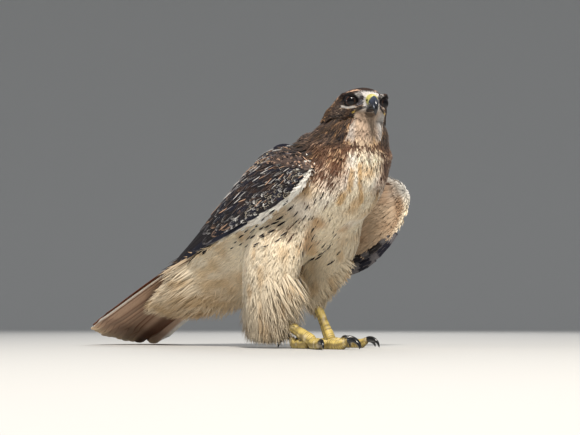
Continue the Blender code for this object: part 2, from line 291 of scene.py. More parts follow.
# The body's outer surface as a field of distances, negative inside
fieldShape = {
    "voxel": 1.5, "margin": 15.0, "band": 24.0,
    "blend": {"neck": 14.0, "head": 8.0, "thigh_right": 10.0, "thigh_left": 10.0, "wing_right": 3.0,
              "wing_left": 3.0},
    "coatDepth": {"trunk": 7.0, "neck": 5.0, "head": 2.6, "thigh_right": 8.0, "thigh_left": 7.0,
                  "wing_right": 3.0, "wing_left": 3.0},
    "faceDepth": 1.3, "faceFrom": -6, "faceTo": 20, "headReach": 58, "smoothing": 3,
    "weightFloor": -8.0, "weightReach": 5.0,
}
fleshNodes = ["trunk", "neck", "head", "thigh_right", "thigh_left", "wing_right", "wing_left"]
field = {}


# A node's corners in millimetres and its triangles.
def nodePoints(name):
    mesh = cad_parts[name].data
    corners = np.empty(len(mesh.vertices) * 3, np.float32)
    mesh.vertices.foreach_get("co", corners)
    mesh.calc_loop_triangles()
    triangles = np.empty(len(mesh.loop_triangles) * 3, np.int32)
    mesh.loop_triangles.foreach_get("vertices", triangles)
    points = corners.reshape(-1, 3) / toMetres + floorCentre
    return points.astype(np.float32), triangles.reshape(-1, 3).astype(np.uint32)


# The nearer of two distances, eased by h^2 k/4 where they differ by less than the reach k.
def smoothUnion(a, b, reach):
    h = np.maximum(reach - np.abs(a - b), 0) / reach
    return np.minimum(a, b) - h * h * reach / 4


# Distance to a round bar from start to end, or to a ball where they are the same.
def capsule(points, start, end, radius):
    start, end = np.array(start, float), np.array(end, float)
    way = end - start
    t = np.clip(((points - start) @ way) / max(way @ way, 1e-9), 0, 1)
    return np.linalg.norm(points - start - t[..., None] * way, axis=-1) - radius


browShape = {
    "ridge": [(30, 12.0, 9.4), (22, 21.8, 10.9), (10, 27.2, 11.2), (-2, 27.5, 9.5)],
    "radius": 3.0, "blend": 3.5,
    "lore": (33, 17.5, 1.0), "loreRadius": 6.5, "loreBlend": 5.0,
    "cere": [(24, 0, 1), (32, 0, 1)], "cereRadius": 7.2, "cereBlend": 4.0,
    "eyeSink": 0.9, "eyeBlend": 3.0,
}


# Filled sockets, a root for the cere, brow ridges over the eyes and a hollow in front of each eye.
def sculptHead(distance, points):
    side, shape = folded(toHead(points)), browShape
    eye = capsule(side, headShape["eye"], headShape["eye"], headShape["eyeRadius"] - shape["eyeSink"])
    distance = smoothUnion(distance, eye, shape["eyeBlend"])
    distance = smoothUnion(distance, capsule(side, *shape["cere"], shape["cereRadius"]), shape["cereBlend"])
    for start, end in zip(shape["ridge"][:-1], shape["ridge"][1:]):
        distance = smoothUnion(distance, capsule(side, start, end, shape["radius"]), shape["blend"])
    hollow = capsule(side, shape["lore"], shape["lore"], shape["loreRadius"])
    return -smoothUnion(-distance, hollow, shape["loreBlend"])


# Distances to the flesh nodes' joined surface on an even grid, and the coat's depth there.
# Each node's own distances are joined by the smooth union. The depth is the mean of the nodes'
# depths, weighted by how near each one is.
def makeField():
    voxel, margin = fieldShape["voxel"], fieldShape["margin"]
    clouds = {name: nodePoints(name) for name in fleshNodes}
    low = np.min([c[0].min(0) for c in clouds.values()], 0) - margin
    high = np.max([c[0].max(0) for c in clouds.values()], 0) + margin
    first = np.floor(low / voxel).astype(int)
    count = np.ceil(high / voxel).astype(int) - first + 1
    spacing = openvdb.createLinearTransform(voxelSize=voxel)
    union, closest, owner = None, None, None
    depthSum, weightSum = np.zeros(count, np.float32), np.zeros(count, np.float32)
    for index, name in enumerate(fleshNodes):
        points, triangles = clouds[name]
        grid = openvdb.FloatGrid.createLevelSetFromPolygons(
            points, triangles=triangles, transform=spacing, halfWidth=fieldShape["band"] / voxel)
        distance = np.zeros(count, np.float32)
        grid.copyToArray(distance, ijk=tuple(int(i) for i in first))
        weight = np.exp(-np.maximum(distance, fieldShape["weightFloor"]) / fieldShape["weightReach"])
        depthSum += weight * fieldShape["coatDepth"][name]
        weightSum += weight
        if union is None:
            union, closest = distance, distance.copy()
            owner = np.zeros(count, np.int8)
            continue
        owner[distance < closest] = index
        closest = np.minimum(closest, distance)
        union = smoothUnion(union, distance, fieldShape["blend"][name])
    depth = depthSum / weightSum
    corner = np.floor(fromHead((0, 0, 0)) / voxel).astype(int) - first
    reach = int(fieldShape["headReach"] / voxel)
    near = tuple(slice(max(c - reach, 0), c + reach) for c in corner)
    axes = [(np.arange(s.start, min(s.stop, n)) + f) * voxel for s, n, f in zip(near, count, first)]
    block = np.stack(np.meshgrid(*axes, indexing="ij"), -1)
    union[near] = sculptHead(union[near], block)
    face = soft(fieldShape["faceFrom"], fieldShape["faceTo"], toHead(block)[..., 0])
    face = face * (owner[near] == fleshNodes.index("head"))
    depth[near] += (fieldShape["faceDepth"] - depth[near]) * face
    for values in (union, depth):
        for repeat in range(fieldShape["smoothing"]):
            for axis in range(3):
                v = np.moveaxis(values, axis, 0)
                v[1:-1] = (v[:-2] + 2 * v[1:-1] + v[2:]) / 4
    field.update(low=first * voxel, voxel=voxel, depth=depth, owner=owner, spacing=spacing,
                 first=tuple(int(i) for i in first))
    # the joined surface measured again, since inside the body the nodes' own walls cut the distances short
    points, quads, triangles = surfaceOf(union, 0.0)
    triangles = np.concatenate([triangles, quads[:, :3], quads[:, [0, 2, 3]]])
    grid = openvdb.FloatGrid.createLevelSetFromPolygons(
        points, triangles=triangles, transform=spacing, halfWidth=fieldShape["band"] / voxel)
    distance = np.zeros(count, np.float32)
    grid.copyToArray(distance, ijk=field["first"])
    field["distance"] = distance


# The surface where a grid of values crosses zero, as points, four-cornered and three-cornered faces.
def surfaceOf(values, thinning):
    grid = openvdb.FloatGrid(fieldShape["band"])
    grid.transform = field["spacing"]
    grid.copyFromArray(np.ascontiguousarray(values, np.float32), ijk=field["first"])
    points, triangles, quads = grid.convertToPolygons(isovalue=0.0, adaptivity=thinning)
    return np.asarray(points), np.asarray(quads).reshape(-1, 4), np.asarray(triangles).reshape(-1, 3)


# Trilinear reading of a grid: the mean of the eight corners, each weighted by the far box's volume.
# It returns the value and its slope.
def readGrid(values, points):
    x = (points - field["low"]) / field["voxel"]
    top = np.array(values.shape) - 2
    i = np.clip(x.astype(int), 0, top)
    t = np.clip(x - i, 0, 1).astype(np.float32)
    flat = values.ravel()
    strides = np.array([values.shape[1] * values.shape[2], values.shape[2], 1])
    base = i @ strides
    c = [[[flat[base + np.array([a, b, d]) @ strides] for d in (0, 1)] for b in (0, 1)] for a in (0, 1)]
    u, v, w = t[..., 0], t[..., 1], t[..., 2]
    edge = [[c[a][b][0] * (1 - w) + c[a][b][1] * w for b in (0, 1)] for a in (0, 1)]
    side = [edge[a][0] * (1 - v) + edge[a][1] * v for a in (0, 1)]
    value = side[0] * (1 - u) + side[1] * u
    slopeX = side[1] - side[0]
    slopeY = (edge[0][1] - edge[0][0]) * (1 - u) + (edge[1][1] - edge[1][0]) * u
    rise = [[c[a][b][1] - c[a][b][0] for b in (0, 1)] for a in (0, 1)]
    slopeZ = (rise[0][0] * (1 - v) + rise[0][1] * v) * (1 - u) + (rise[1][0] * (1 - v) + rise[1][1] * v) * u
    return value, np.stack([slopeX, slopeY, slopeZ], -1)


# Distance to the outer surface, and the direction straight out of it.
def bodyAt(points):
    value, slope = readGrid(field["distance"], points)
    return value, unit(slope)


def ownerAt(points):
    x = np.rint((points - field["low"]) / field["voxel"]).astype(int)
    i = np.clip(x, 0, np.array(field["owner"].shape) - 1)
    return field["owner"][i[..., 0], i[..., 1], i[..., 2]]


rayShape = {"start": 1050.0, "tries": 160, "near": 0.2, "share": 0.8, "shortest": 0.3, "longest": 12.0}


# The place on the outer surface that the camera sees at a pixel, found by stepping along its ray.
def seenAt(px, py):
    place, forward, right, up = cameraAxes()
    across = (px - cameraShape["width"] / 2) / cameraShape["focalPixels"]
    down = (py - cameraShape["frameHeight"] / 2) / cameraShape["focalPixels"]
    way = forward + right * across - up * down
    way = way / np.linalg.norm(way)
    point = place + way * rayShape["start"]
    for step in range(rayShape["tries"]):
        value = bodyAt(point[None])[0][0]
        if value < rayShape["near"]:
            break
        point = point + way * min(max(value * rayShape["share"], rayShape["shortest"]), rayShape["longest"])
    return point


skinShape = {"thinning": 0.04, "settling": 0.7, "darkShare": 0.6, "gapShade": 0.62, "chartAngle": 1.15,
             "chartMargin": 0.004}
skin = {}


# The surface that lies inside the outer one by the coat's depth.
def makeSkin():
    points, quads, triangles = surfaceOf(field["distance"] + field["depth"], skinShape["thinning"])
    return points.astype(float), [f.astype(np.int64)[:, ::-1] for f in (quads, triangles) if len(f)]


# Keeps the largest connected sheet: each corner takes the lowest number among its faces' corners,
# and then that corner's own number, until nothing changes.
def largestSheet(points, faces):
    label = np.arange(len(points))
    while True:
        before = label.copy()
        for f in faces:
            lowest = label[f].min(1)
            np.minimum.at(label, f.ravel(), np.repeat(lowest, f.shape[1]))
        label = label[label]
        if (label == before).all():
            break
    names, sizes = np.unique(label, return_counts=True)
    keep = label == names[sizes.argmax()]
    order = np.cumsum(keep) - 1
    return points[keep], [order[f[keep[f[:, 0]]]] for f in faces]


# The skin as one mesh, unwrapped in charts of its own shape, and its triangles for placing roots.
def buildSkin(material):
    points, faces = largestSheet(*makeSkin())
    for repeat in range(2):
        distance, out = bodyAt(points)
        deep = readGrid(field["depth"], points)[0]
        points = points - out * (distance + deep)[:, None] * skinShape["settling"]
    base, dark, share = paintAt(points, ownerAt(points))
    # the skin carries the coat's markings, darkened as painted shade for the gaps between the feathers
    colour = mixed(base, dark, share * skinShape["darkShare"]) * skinShape["gapShade"]
    made = putMesh("skin", points, faces, colours={"tint": colour}, sharp=None)
    bpy.context.view_layer.objects.active = made
    made.select_set(True)
    made.data.uv_layers.new(name="OFBake")
    bpy.ops.object.mode_set(mode="EDIT")
    bpy.ops.mesh.select_all(action="SELECT")
    bpy.ops.uv.smart_project(angle_limit=skinShape["chartAngle"], island_margin=skinShape["chartMargin"],
                             scale_to_bounds=True)
    bpy.ops.object.mode_set(mode="OBJECT")
    made.select_set(False)
    mesh = made.data
    mesh.calc_loop_triangles()
    corners = np.empty(len(mesh.loop_triangles) * 3, np.int32)
    mesh.loop_triangles.foreach_get("vertices", corners)
    loops = np.empty(len(corners), np.int32)
    mesh.loop_triangles.foreach_get("loops", loops)
    spots = np.empty(len(mesh.loops) * 2, np.float32)
    mesh.uv_layers["OFBake"].data.foreach_get("uv", spots)
    tri = corners.reshape(-1, 3)
    a, b, c = (points[tri[:, k]] for k in range(3))
    skin.update(tri=points[tri], area=np.linalg.norm(np.cross(b - a, c - a), axis=1) / 2,
                map=spots.reshape(-1, 2)[loops].reshape(-1, 3, 2), middle=(a + b + c) / 3)
    skin["owner"] = ownerAt(skin["middle"])
    skin["out"] = bodyAt(skin["middle"])[1]
    return settle(made, material, "plumage_pale", *fleshNodes)


# Roots scattered over the chosen triangles: many random places, thinned to one in each small cube.
def scatter(chosen, spacing, dice):
    rows = np.nonzero(chosen)[0]
    area = skin["area"][rows]
    tries = int(area.sum() / spacing**2 * 6) + 8
    pick = rows[dice.choice(len(rows), tries, p=area / area.sum())]
    u, v = dice.random((2, tries, 1))
    flip = (u + v) > 1
    u, v = np.where(flip, 1 - u, u), np.where(flip, 1 - v, v)
    corner, spot = skin["tri"][pick], skin["map"][pick]
    place = corner[:, 0] * (1 - u - v) + corner[:, 1] * u + corner[:, 2] * v
    where = spot[:, 0] * (1 - u - v) + spot[:, 1] * u + spot[:, 2] * v
    cell = np.floor(place / spacing).astype(np.int64) @ np.array([1, 4096, 4096 * 4096])
    kept = np.sort(np.unique(cell, return_index=True)[1])
    return place[kept], where[kept]


# Smooth noise from 0 to 1: random numbers on a wrapped lattice, blended by the cubic 3t^2 - 2t^3.
def drift(points, size, seed):
    lattice = np.random.default_rng(seed).random((16, 16, 16)).astype(np.float32)
    x = np.asarray(points) / size + 100.0
    i = np.floor(x).astype(int)
    t = x - i
    t = t * t * (3 - 2 * t)
    total = 0
    for corner in range(8):
        step = np.array([corner >> 2 & 1, corner >> 1 & 1, corner & 1])
        share = np.where(step, t, 1 - t).prod(-1)
        j = (i + step) % 16
        total = total + share * lattice[j[..., 0], j[..., 1], j[..., 2]]
    return total


# Markings, shared by skin and coat.
# A soft mark along a line of places, or round a single one: 1 inside, falling to 0 at its radius.
def band(points, places, radius, edge=0.5):
    ends = list(zip(places[:-1], places[1:])) or [(places[0], places[0])]
    far = np.min([capsule(points, start, end, 0.0) for start, end in ends], axis=0)
    return 1 - soft(radius * (1 - edge), radius, far)


# How far a named mark covers a point. A slab is the product of its soft ranges along the axes it names.
def markShare(points, mark):
    if "slab" in mark:
        return np.prod([soft(start, end, points[..., axis]) for axis, start, end in mark["slab"]], axis=0)
    return band(points[..., :3], mark["places"], mark["radius"], mark.get("edge", 0.5))


# Lays a wash over the paint: what is given of the base colour, the dark colour and the share of dark
# feathers is mixed in by the mask.
def wash(paint, mask, base=None, dark=None, share=None):
    if base is not None:
        paint["base"] = mixed(paint["base"], base, mask)
    if dark is not None:
        paint["dark"] = mixed(paint["dark"], dark, mask)
    if share is not None:
        paint["share"] = paint["share"] + (share - paint["share"]) * mask


# One colour fading into another by a share at each point.
def fading(first, second, share):
    return mixed(first + np.zeros((*share.shape, 3)), second, share)


# Noise that rises from 0 to 1 between two values: its size in millimetres, seed, squeeze and values.
def blotches(points, size, seed, squeeze, low, high):
    return soft(low, high, drift(points * squeeze, size, seed))


eyeOpening = {"centre": (20.4, 24.35, 2.9), "out": (0.66, 0.75, 0.04), "halfLength": 8.2, "halfHeight": 5.9,
              "reach": 9.0}


# How far out from the eye's opening a point is: 1 on its oval rim. Both eyes are folded onto the left.
def eyeRing(local):
    out, ahead, up = faceAxes(eyeOpening["out"])
    off = folded(local) - np.array(eyeOpening["centre"])
    flat = np.hypot((off @ ahead) / eyeOpening["halfLength"], (off @ up) / eyeOpening["halfHeight"])
    return np.where(np.abs(off @ out) < eyeOpening["reach"], flat, eyeOpening["reach"]), off @ up


# The head's marks, in the order they are laid, on its own axes with both sides folded onto the left. Axis 3
# of a slab is the height above a line that tilts with the crown. Each has its colour and share of dark
# feathers: crown, line over the eye, forehead, grey lores, streaked ear coverts, malar stripe and chin.
headMarks = {
    "crown": {"slab": [(3, 8.5, 12)], "ink": "brown", "share": 0.75},
    "browLine": {"places": [(22, 9, 16.8), (15, 12.8, 17.5), (5.4, 21.1, 16.1), (1.9, 28.5, 12.1),
                            (-8, 32, 5)], "radius": 2.4, "ink": "pinkBuff", "share": 0.35},
    "forehead": {"slab": [(0, 17, 21), (2, 6, 10), (1, 15, 11), (2, 17, 15)],
                 "ink": "softGrey", "share": 0.55},
    "overCere": {"slab": [(0, 23, 27), (1, 12, 9), (2, 15, 13.5)], "ink": "paleGrey", "share": 0.15},
    "lore": {"places": [(28.5, 13.5, 2.5)], "radius": 8.5, "edge": 0.35, "ink": "loreGrey", "share": 0.55},
    "loreTop": {"places": [(27, 15, 9)], "radius": 5.0, "ink": "softGrey", "share": 0.45},
    "besideCere": {"places": [(34, 8, 2)], "radius": 5.0, "ink": "softGrey", "share": 0.25},
    "underLore": {"places": [(29, 16, -8)], "radius": 5.5, "ink": "taupe", "share": 0.45},
    "earCoverts": {"places": [(14, 36, -9)], "radius": 16.0, "ink": "taupe", "share": 0.82},
    "malar": {"places": [(27, 19.5, -14.2), (25.2, 28.3, -20), (22, 35, -22)], "radius": 5.0,
              "ink": "blackBrown", "share": 0.95},
    "chin": {"places": [(31, 10, -11.5)], "radius": 5.0, "ink": "paleGrey", "share": 0.05},
}
headPaint = {
    "share": 0.80, "tan": 0.9, "crownTilt": 0.22, "streaks": (3.0, 18, 1.0, 0.3, 0.7),
    "crescent": {"places": [(15, 30, -3.2), (20.4, 26, -4.8), (23.4, 22.2, -5), (26, 18.5, -4)],
                 "radius": 2.3, "edge": 0.4},
    # the dark ring round the eye, wider above as painted shadow of the brow: its reach below, how much more
    # above, where that changes, its soft edge
    "ringReach": 1.16, "ringMore": 0.40, "ringUp": (-2.0, 3.0), "ringEdge": (-0.08, 0.12),
    # where the head's colours stop: heights on its own axes, and distances from its centre
    "low": (-24, -15), "far": (58, 50), "chinLow": (-6, -13),
}


def paintHead(local):
    side, look = folded(local), headPaint
    raised = side[..., 2:] + look["crownTilt"] * side[..., :1]
    axes = np.concatenate([side, raised], -1)
    paint = {"base": ink("tan") * look["tan"] + 0 * side, "share": np.full(side.shape[:-1], look["share"]),
             "dark": fading(ink("darkBrown"), ink("blackBrown"), blotches(local, *look["streaks"]))}
    for mark in headMarks.values():
        wash(paint, markShare(axes, mark), ink(mark["ink"]), None, mark["share"])
    # a pale crescent below the eye, and a dark ring round it, wider above as painted shadow of the brow
    wash(paint, markShare(side, look["crescent"]), ink("softGrey") * 0.82, None, 0.0)
    ring, up = eyeRing(local)
    reach = look["ringReach"] + look["ringMore"] * soft(*look["ringUp"], up)
    inside = 1 - soft(reach + look["ringEdge"][0], reach + look["ringEdge"][1], ring)
    wash(paint, inside, ink("lidSkin") * 0.8, None, 0.0)
    return paint


# Values of the body's paint. A pair is a soft range: along x or z in millimetres, or the throat's turn in
# degrees from straight under the bill. A list of five is a blotch: size, seed, squeeze, low and high.
even, upright = (1.0, 1.0, 1.0), (1.0, 1.0, 0.3)
bodyPaint = {
    "share": 0.04, "clouds": (17.0, 3), "gold": (0.52, 0.85), "goldShare": 0.55,
    "white": (24.0, 5, even, 0.55, 0.85), "whiteShare": 0.7, "whiteHeight": (120, 160),
    "throatCentre": (98.0, -5.0),
    # upper breast: streaked at the sides, clear in the middle
    "breastMiddle": 8, "breastTurn": (22, 46), "breastRagged": 12, "breastHeight": (166, 214),
    "breastShare": 0.64, "breastTan": (0.4, 0.7), "breastWash": 0.85,
    "breastDark": (6.0, 9, even, 0.35, 0.75),
    "collarLow": (221, 234), "collarHigh": (270, 262), "collarRagged": 8, "collarNoise": (5.0, 17),
    "collarShare": 0.74, "collarTan": 0.5, "collarDark": 0.6,
    # the throat's bib: the turn of each edge, how it moves with height below a level, and where it stops
    "nearEdge": (14, 0.5, 273, 32), "farEdge": (48, -0.63, 264, 26), "edgeAbove": -4,
    "bibEdge": (2, -3), "bibHeight": (243, 251), "bibRagged": 12.0, "hangNoise": (2.6, 8), "edgeRagged": 5,
    "edgeNoise": (2.2, 16), "bibFar": (20, 40), "bibNear": (8, 20), "bibNearShare": 0.6,
    "neckEdge": (-1, 4), "neckHeight": (224, 244), "neckShare": 0.87,
    "neckBuff": (8.0, 12, even, 0.5, 0.8), "neckUmber": (7.0, 10, even, 0.3, 0.8),
    "malarIn": (-1, 3), "malarOut": (18, 10), "malarHeight": (232, 246), "malarShare": 0.97,
    "napeBack": (75, 55), "napeHeight": (222, 240), "napeShare": 0.95,
    # belly band, painted shade in the breast's creases, and the flank's painted shade
    "belly": {"places": [(66, -28, 132)], "radius": 52.0, "edge": 0.6}, "bellyShare": 0.10,
    "bellyTan": (0.25, 0.75), "tanShare": 0.45, "creaseShadeEdge": (1.2, 0.5), "creaseShadeShare": 0.75,
    "flank": {"places": [(20, -60, 146)], "radius": 40.0, "edge": 0.6},
    "flankTan": (10.0, 19, even, 0.2, 0.7),
    # the back starts above a line that climbs forwards, from rumpHeight at rumpPlace, and dips at the rump
    "rumpHeight": 112, "rumpPlace": -120, "backSlope": 0.42, "rumpDip": 16, "rumpDipAt": (-60, -110),
    "backEdge": (9, 30), "backFront": (95, 70), "backShare": 0.96,
    # under the tail: paler in front, and painted shade lower down and further back
    "vent": (-40, -90), "tawny": (9.0, 15, (0.4, 1.0, 1.0), 0.35, 0.75), "ventLow": (135, 65),
    "ventSlope": 0.45, "ventStart": -90, "ventBack": (-115, -170), "ventBackShare": 0.6,
    "ventShade": (0.24, 0.29, 0.34),
    "fluff": (9.0, 14, (1.0, 1.0, 0.4), 0.50, 0.85), "fluffShare": 0.45, "legLow": (140, 20),
    "legShade": (0.38, 0.40, 0.42), "legStreaks": (95, 130),
    # wings: the far one's lining is white along its edge, whiter higher up as painted light, and tan below
    # and inside as painted shade
    "wingLow": (150, 110), "wingCream": 0.8, "rim": (-0.2, 0.3), "rimShare": 0.3, "liningLow": (222, 180),
    "liningWhite": (170, 200), "liningTan": (0.3, 0.7), "liningInk": 0.45, "liningShare": 0.75,
    "hiddenBack": (-70, -95), "hiddenIn": (62, 45), "hiddenHigh": (168, 184),
    "armpit": {"places": [(94, 76, 196)], "radius": 17.0, "edge": 0.7},
    "armpitTan": 0.75, "armpitShare": 0.25,
}


# Where a point stands round the throat, in degrees from straight under the bill.
def throatTurn(points):
    x, y = bodyPaint["throatCentre"]
    return np.degrees(np.arctan2(points[..., 1] - y, points[..., 0] - x)) - headShape["yaw"]


# Streaked breast sides, dark neck and nape, and the plain bib between ragged edges. Returns the bib.
def paintThroat(paint, points, cloudy):
    look = bodyPaint
    x, z = points[..., 0], points[..., 2]
    turn = throatTurn(points)
    around = np.abs(turn - look["breastMiddle"]) + look["breastRagged"] * (cloudy - 0.5)
    side = soft(*look["breastTurn"], around) * soft(*look["breastHeight"], z)
    wash(paint, side, None, None, look["breastShare"])
    buff = fading(ink("pinkBuff"), ink("tan"), soft(*look["breastTan"], cloudy))
    wash(paint, side * look["breastWash"], buff)
    wash(paint, side * blotches(points, *look["breastDark"]), None, ink("brown"))
    rise = z + look["collarRagged"] * (drift(points * upright, *look["collarNoise"]) - 0.5)
    collar = soft(*look["collarLow"], rise) * soft(*look["collarHigh"], z)
    wash(paint, collar, None, None, look["collarShare"])
    wash(paint, look["collarTan"] * collar, ink("tan"))
    near, far = (start + slope * np.clip(level - z, look["edgeAbove"], reach)
                 for start, slope, level, reach in (look["nearEdge"], look["farEdge"]))
    outside = np.maximum(-near - turn, turn - far)
    ragged = outside + look["edgeRagged"] * (drift(points * upright, *look["edgeNoise"]) - 0.5)
    hang = look["bibRagged"] * drift(points * (1, 1, 0.2), *look["hangNoise"])
    bib = soft(*look["bibEdge"], ragged) * soft(*look["bibHeight"], z + hang)
    neck = soft(*look["neckEdge"], outside) * soft(*look["neckHeight"], z)
    buff = fading(ink("tan"), ink("pinkBuff"), blotches(points, *look["neckBuff"]))
    umber = fading(ink("blackBrown"), ink("darkBrown") * 1.2, blotches(points, *look["neckUmber"]))
    wash(paint, neck, buff, umber)
    wash(paint, collar * look["collarDark"] * (1 - neck), None, ink("brown"))
    wash(paint, neck, None, None, look["neckShare"])
    malar = soft(*look["malarIn"], outside) * soft(*look["malarOut"], outside)
    malar = malar * soft(*look["malarHeight"], z)
    wash(paint, malar, None, ink("blackBrown"), look["malarShare"])
    nape = soft(*look["napeBack"], x) * soft(*look["napeHeight"], z)
    wash(paint, nape, ink("pinkBuff"), ink("blackBrown"), look["napeShare"])
    # the bib: its own taupe, deepened as painted shade, and paler at its sides as painted light
    wash(paint, bib, ink("taupe") * 1.1)
    sides = np.maximum(soft(*look["bibFar"], turn), soft(*look["bibNear"], -turn) * look["bibNearShare"])
    wash(paint, bib * sides, ink("softGrey") * 1.15)
    wash(paint, bib, None, None, 0.0)
    return bib


# Scattered blackish streaks across the belly, warm gold painted shade in the breast's creases, a tan belly
# that is partly painted shade, and tan painted shade on the flank below the wing.
def paintBelly(paint, points, cloudy):
    look = bodyPaint
    belly = markShare(points, look["belly"])
    paint["share"] = paint["share"] + look["bellyShare"] * belly
    # painted shade: warm gold along the creases between the breast's tufts
    for start, end, radius in creaseShades:
        creaseShade = soft(*look["creaseShadeEdge"], capsule(points, start, end, 0.0) / radius)
        wash(paint, look["creaseShadeShare"] * creaseShade, ink("goldBuff") * 0.9)
    # the belly's tan: its own warm colour, deepened as painted shade
    wash(paint, look["tanShare"] * belly * soft(*look["bellyTan"], cloudy), ink("tan") * 1.15)
    # painted shade: tan on the flank below the wing
    flank = markShare(points, look["flank"]) * blotches(points, *look["flankTan"])
    wash(paint, look["tanShare"] * flank, ink("tan"))
    wash(paint, belly, None, ink("blackBrown"))


# The back between the wings, the rump, and the pale coverts under the tail.
def paintRump(paint, points, trunk):
    look = bodyPaint
    x, z = points[..., 0], points[..., 2]
    above = z - look["rumpHeight"] - look["backSlope"] * (x - look["rumpPlace"])
    above = above + look["rumpDip"] * soft(*look["rumpDipAt"], x)
    back = soft(*look["backEdge"], above) * soft(*look["backFront"], x) * trunk
    wash(paint, back, ink("tan"), ink("blackBrown"), look["backShare"])
    vent = soft(*look["vent"], x) * trunk * (1 - back)
    tawny = fading(ink("cream"), ink("warmCream") * 0.92, blotches(points, *look["tawny"]))
    # painted shade: the coverts under the tail darker lower down and further back
    lower = soft(*look["ventLow"], z + look["ventSlope"] * (look["ventStart"] - x))
    lower = lower + look["ventBackShare"] * soft(*look["ventBack"], x)
    tawny = tawny * (1 - np.array(look["ventShade"]) * lower[..., None])
    wash(paint, vent, tawny, None, 0.0)


def paintLegs(paint, points, legs):
    look, z = bodyPaint, points[..., 2]
    gold = look["fluffShare"] * blotches(points, *look["fluff"])
    fluff = fading(ink("cream") * 1.02, ink("goldBuff"), gold)
    # painted shade: the trousers darker towards the bottom
    fluff = fluff * (1 - np.array(look["legShade"]) * soft(*look["legLow"], z)[..., None])
    paint["base"] = np.where(legs[..., None], fluff, paint["base"])
    paint["share"] = np.where(legs, paint["share"] * soft(*look["legStreaks"], z), paint["share"])


def paintWings(paint, points, isNode, cloudy):
    look = bodyPaint
    x, z = points[..., 0], points[..., 2]
    near = fading(ink("white"), ink("cream"), soft(*look["wingLow"], z) * look["wingCream"])
    # painted shade: tan over the far lining below its white edge and inside
    inside = soft(*look["rim"], look["rimShare"] - rimShare("left", points)) * soft(*look["liningLow"], z)
    tan = inside * (look["liningShare"] + (1 - look["liningShare"]) * soft(*look["liningTan"], cloudy))
    # painted light: the far lining whiter higher up
    far = fading(ink("cream"), ink("white"), soft(*look["liningWhite"], z))
    far = mixed(far, (ink("taupe") + ink("tan")) * look["liningInk"], tan)
    pale = np.where(isNode["wing_left"][..., None], far, near)
    # painted shade: blackish where the wings' skin lies hidden behind the body and far back
    hidden = soft(*look["hiddenIn"], x) * soft(*look["hiddenHigh"], z)
    pale = mixed(pale, ink("blackBrown"), np.maximum(soft(*look["hiddenBack"], x), hidden))
    armpit = markShare(points, look["armpit"])
    pale = mixed(pale, ink("tan"), armpit * look["armpitTan"])
    wings = isNode["wing_left"] | isNode["wing_right"]
    paint["base"] = np.where(wings[..., None], pale, paint["base"])
    paint["share"] = np.where(wings, look["armpitShare"] * armpit, paint["share"])


def nodeMasks(owner):
    return {name: owner == i for i, name in enumerate(fleshNodes)}


# The coat's base colour, the dark colour of its streaks, and how likely a feather is to be dark.
def paintAt(points, owner):
    look, isNode = bodyPaint, nodeMasks(owner)
    paint = {"base": ink("cream") + 0 * points, "share": np.full(points.shape[:-1], look["share"]),
             "dark": (ink("rufousBrown") + ink("brown")) * 0.5 + 0 * points}
    cloudy = drift(points, *look["clouds"])
    wash(paint, look["goldShare"] * soft(*look["gold"], cloudy), ink("goldBuff"))
    high = soft(*look["whiteHeight"], points[..., 2])
    wash(paint, look["whiteShare"] * blotches(points, *look["white"]) * high, ink("white"))
    bib = paintThroat(paint, points, cloudy)
    paintBelly(paint, points, cloudy)
    paintRump(paint, points, isNode["trunk"])
    paintLegs(paint, points, isNode["thigh_right"] | isNode["thigh_left"])
    paintWings(paint, points, isNode, cloudy)
    # the head's colours run on over the cheeks and fade into the neck's below them
    local = toHead(points)
    near = soft(*headPaint["far"], np.linalg.norm(local, axis=-1)) * (isNode["head"] | isNode["neck"])
    onHead = soft(*headPaint["low"], local[..., 2]) * near
    if (onHead > 0).any():
        head = paintHead(local)
        wash(head, bib * soft(*headPaint["chinLow"], local[..., 2]), paint["base"], None, 0.0)
        wash(paint, onHead, head["base"], head["dark"], head["share"])
    return paint["base"], paint["dark"], paint["share"]


# The plainest dark streaks of flank and belly: pixel of the middle, length and width in millimetres.
streakPlaces = [
    (286, 203, 10, 2.0), (281, 218, 12, 2.2), (275, 223, 9, 2.2), (265, 219, 9, 1.8), (258, 225, 9, 2.0),
    (262, 235, 8, 1.8), (252, 231, 8, 1.8), (248, 238, 9, 1.6), (272, 231, 9, 1.8), (255, 246, 6, 1.5),
    (241, 236, 8, 1.8), (296, 214, 9, 1.2), (291, 227, 12, 1.1), (300, 222, 7, 1.0), (305, 225, 7, 1.0),
    (313, 238, 9, 2.2), (311, 247, 12, 2.4), (303, 255, 7, 1.8), (322, 253, 12, 2.0), (330, 247, 9, 1.6),
    (318, 258, 9, 1.4), (299, 260, 6, 1.2), (308, 206, 12, 1.2), (322, 196, 12, 1.2), (315, 201, 9, 1.4),
    (291, 208, 11, 2.0), (281, 224, 10, 2.2), (252, 237, 8, 2.0), (264, 236, 8, 2.0), (256, 244, 7, 1.6),
    (246, 231, 7, 1.8), (241, 244, 7, 1.4), (304, 218, 8, 1.2), (297, 221, 8, 1.2), (313, 230, 8, 1.2),
    (335, 236, 6, 1.2), (339, 253, 7, 1.6), (331, 263, 10, 1.8), (324, 246, 8, 2.0), (313, 259, 9, 1.6),
    (332, 190, 14, 1.0), (341, 164, 12, 1.0), (336, 198, 10, 0.9), (326, 206, 12, 1.0), (346, 178, 10, 0.9),
    (268, 226, 8, 1.8), (272, 212, 9, 1.8), (262, 228, 8, 2.0), (246, 246, 6, 1.4), (236, 242, 6, 1.4),
    (232, 248, 6, 1.2), (284, 234, 9, 1.4), (278, 240, 8, 1.3), (292, 236, 8, 1.1), (266, 246, 7, 1.2),
]
streaks = []
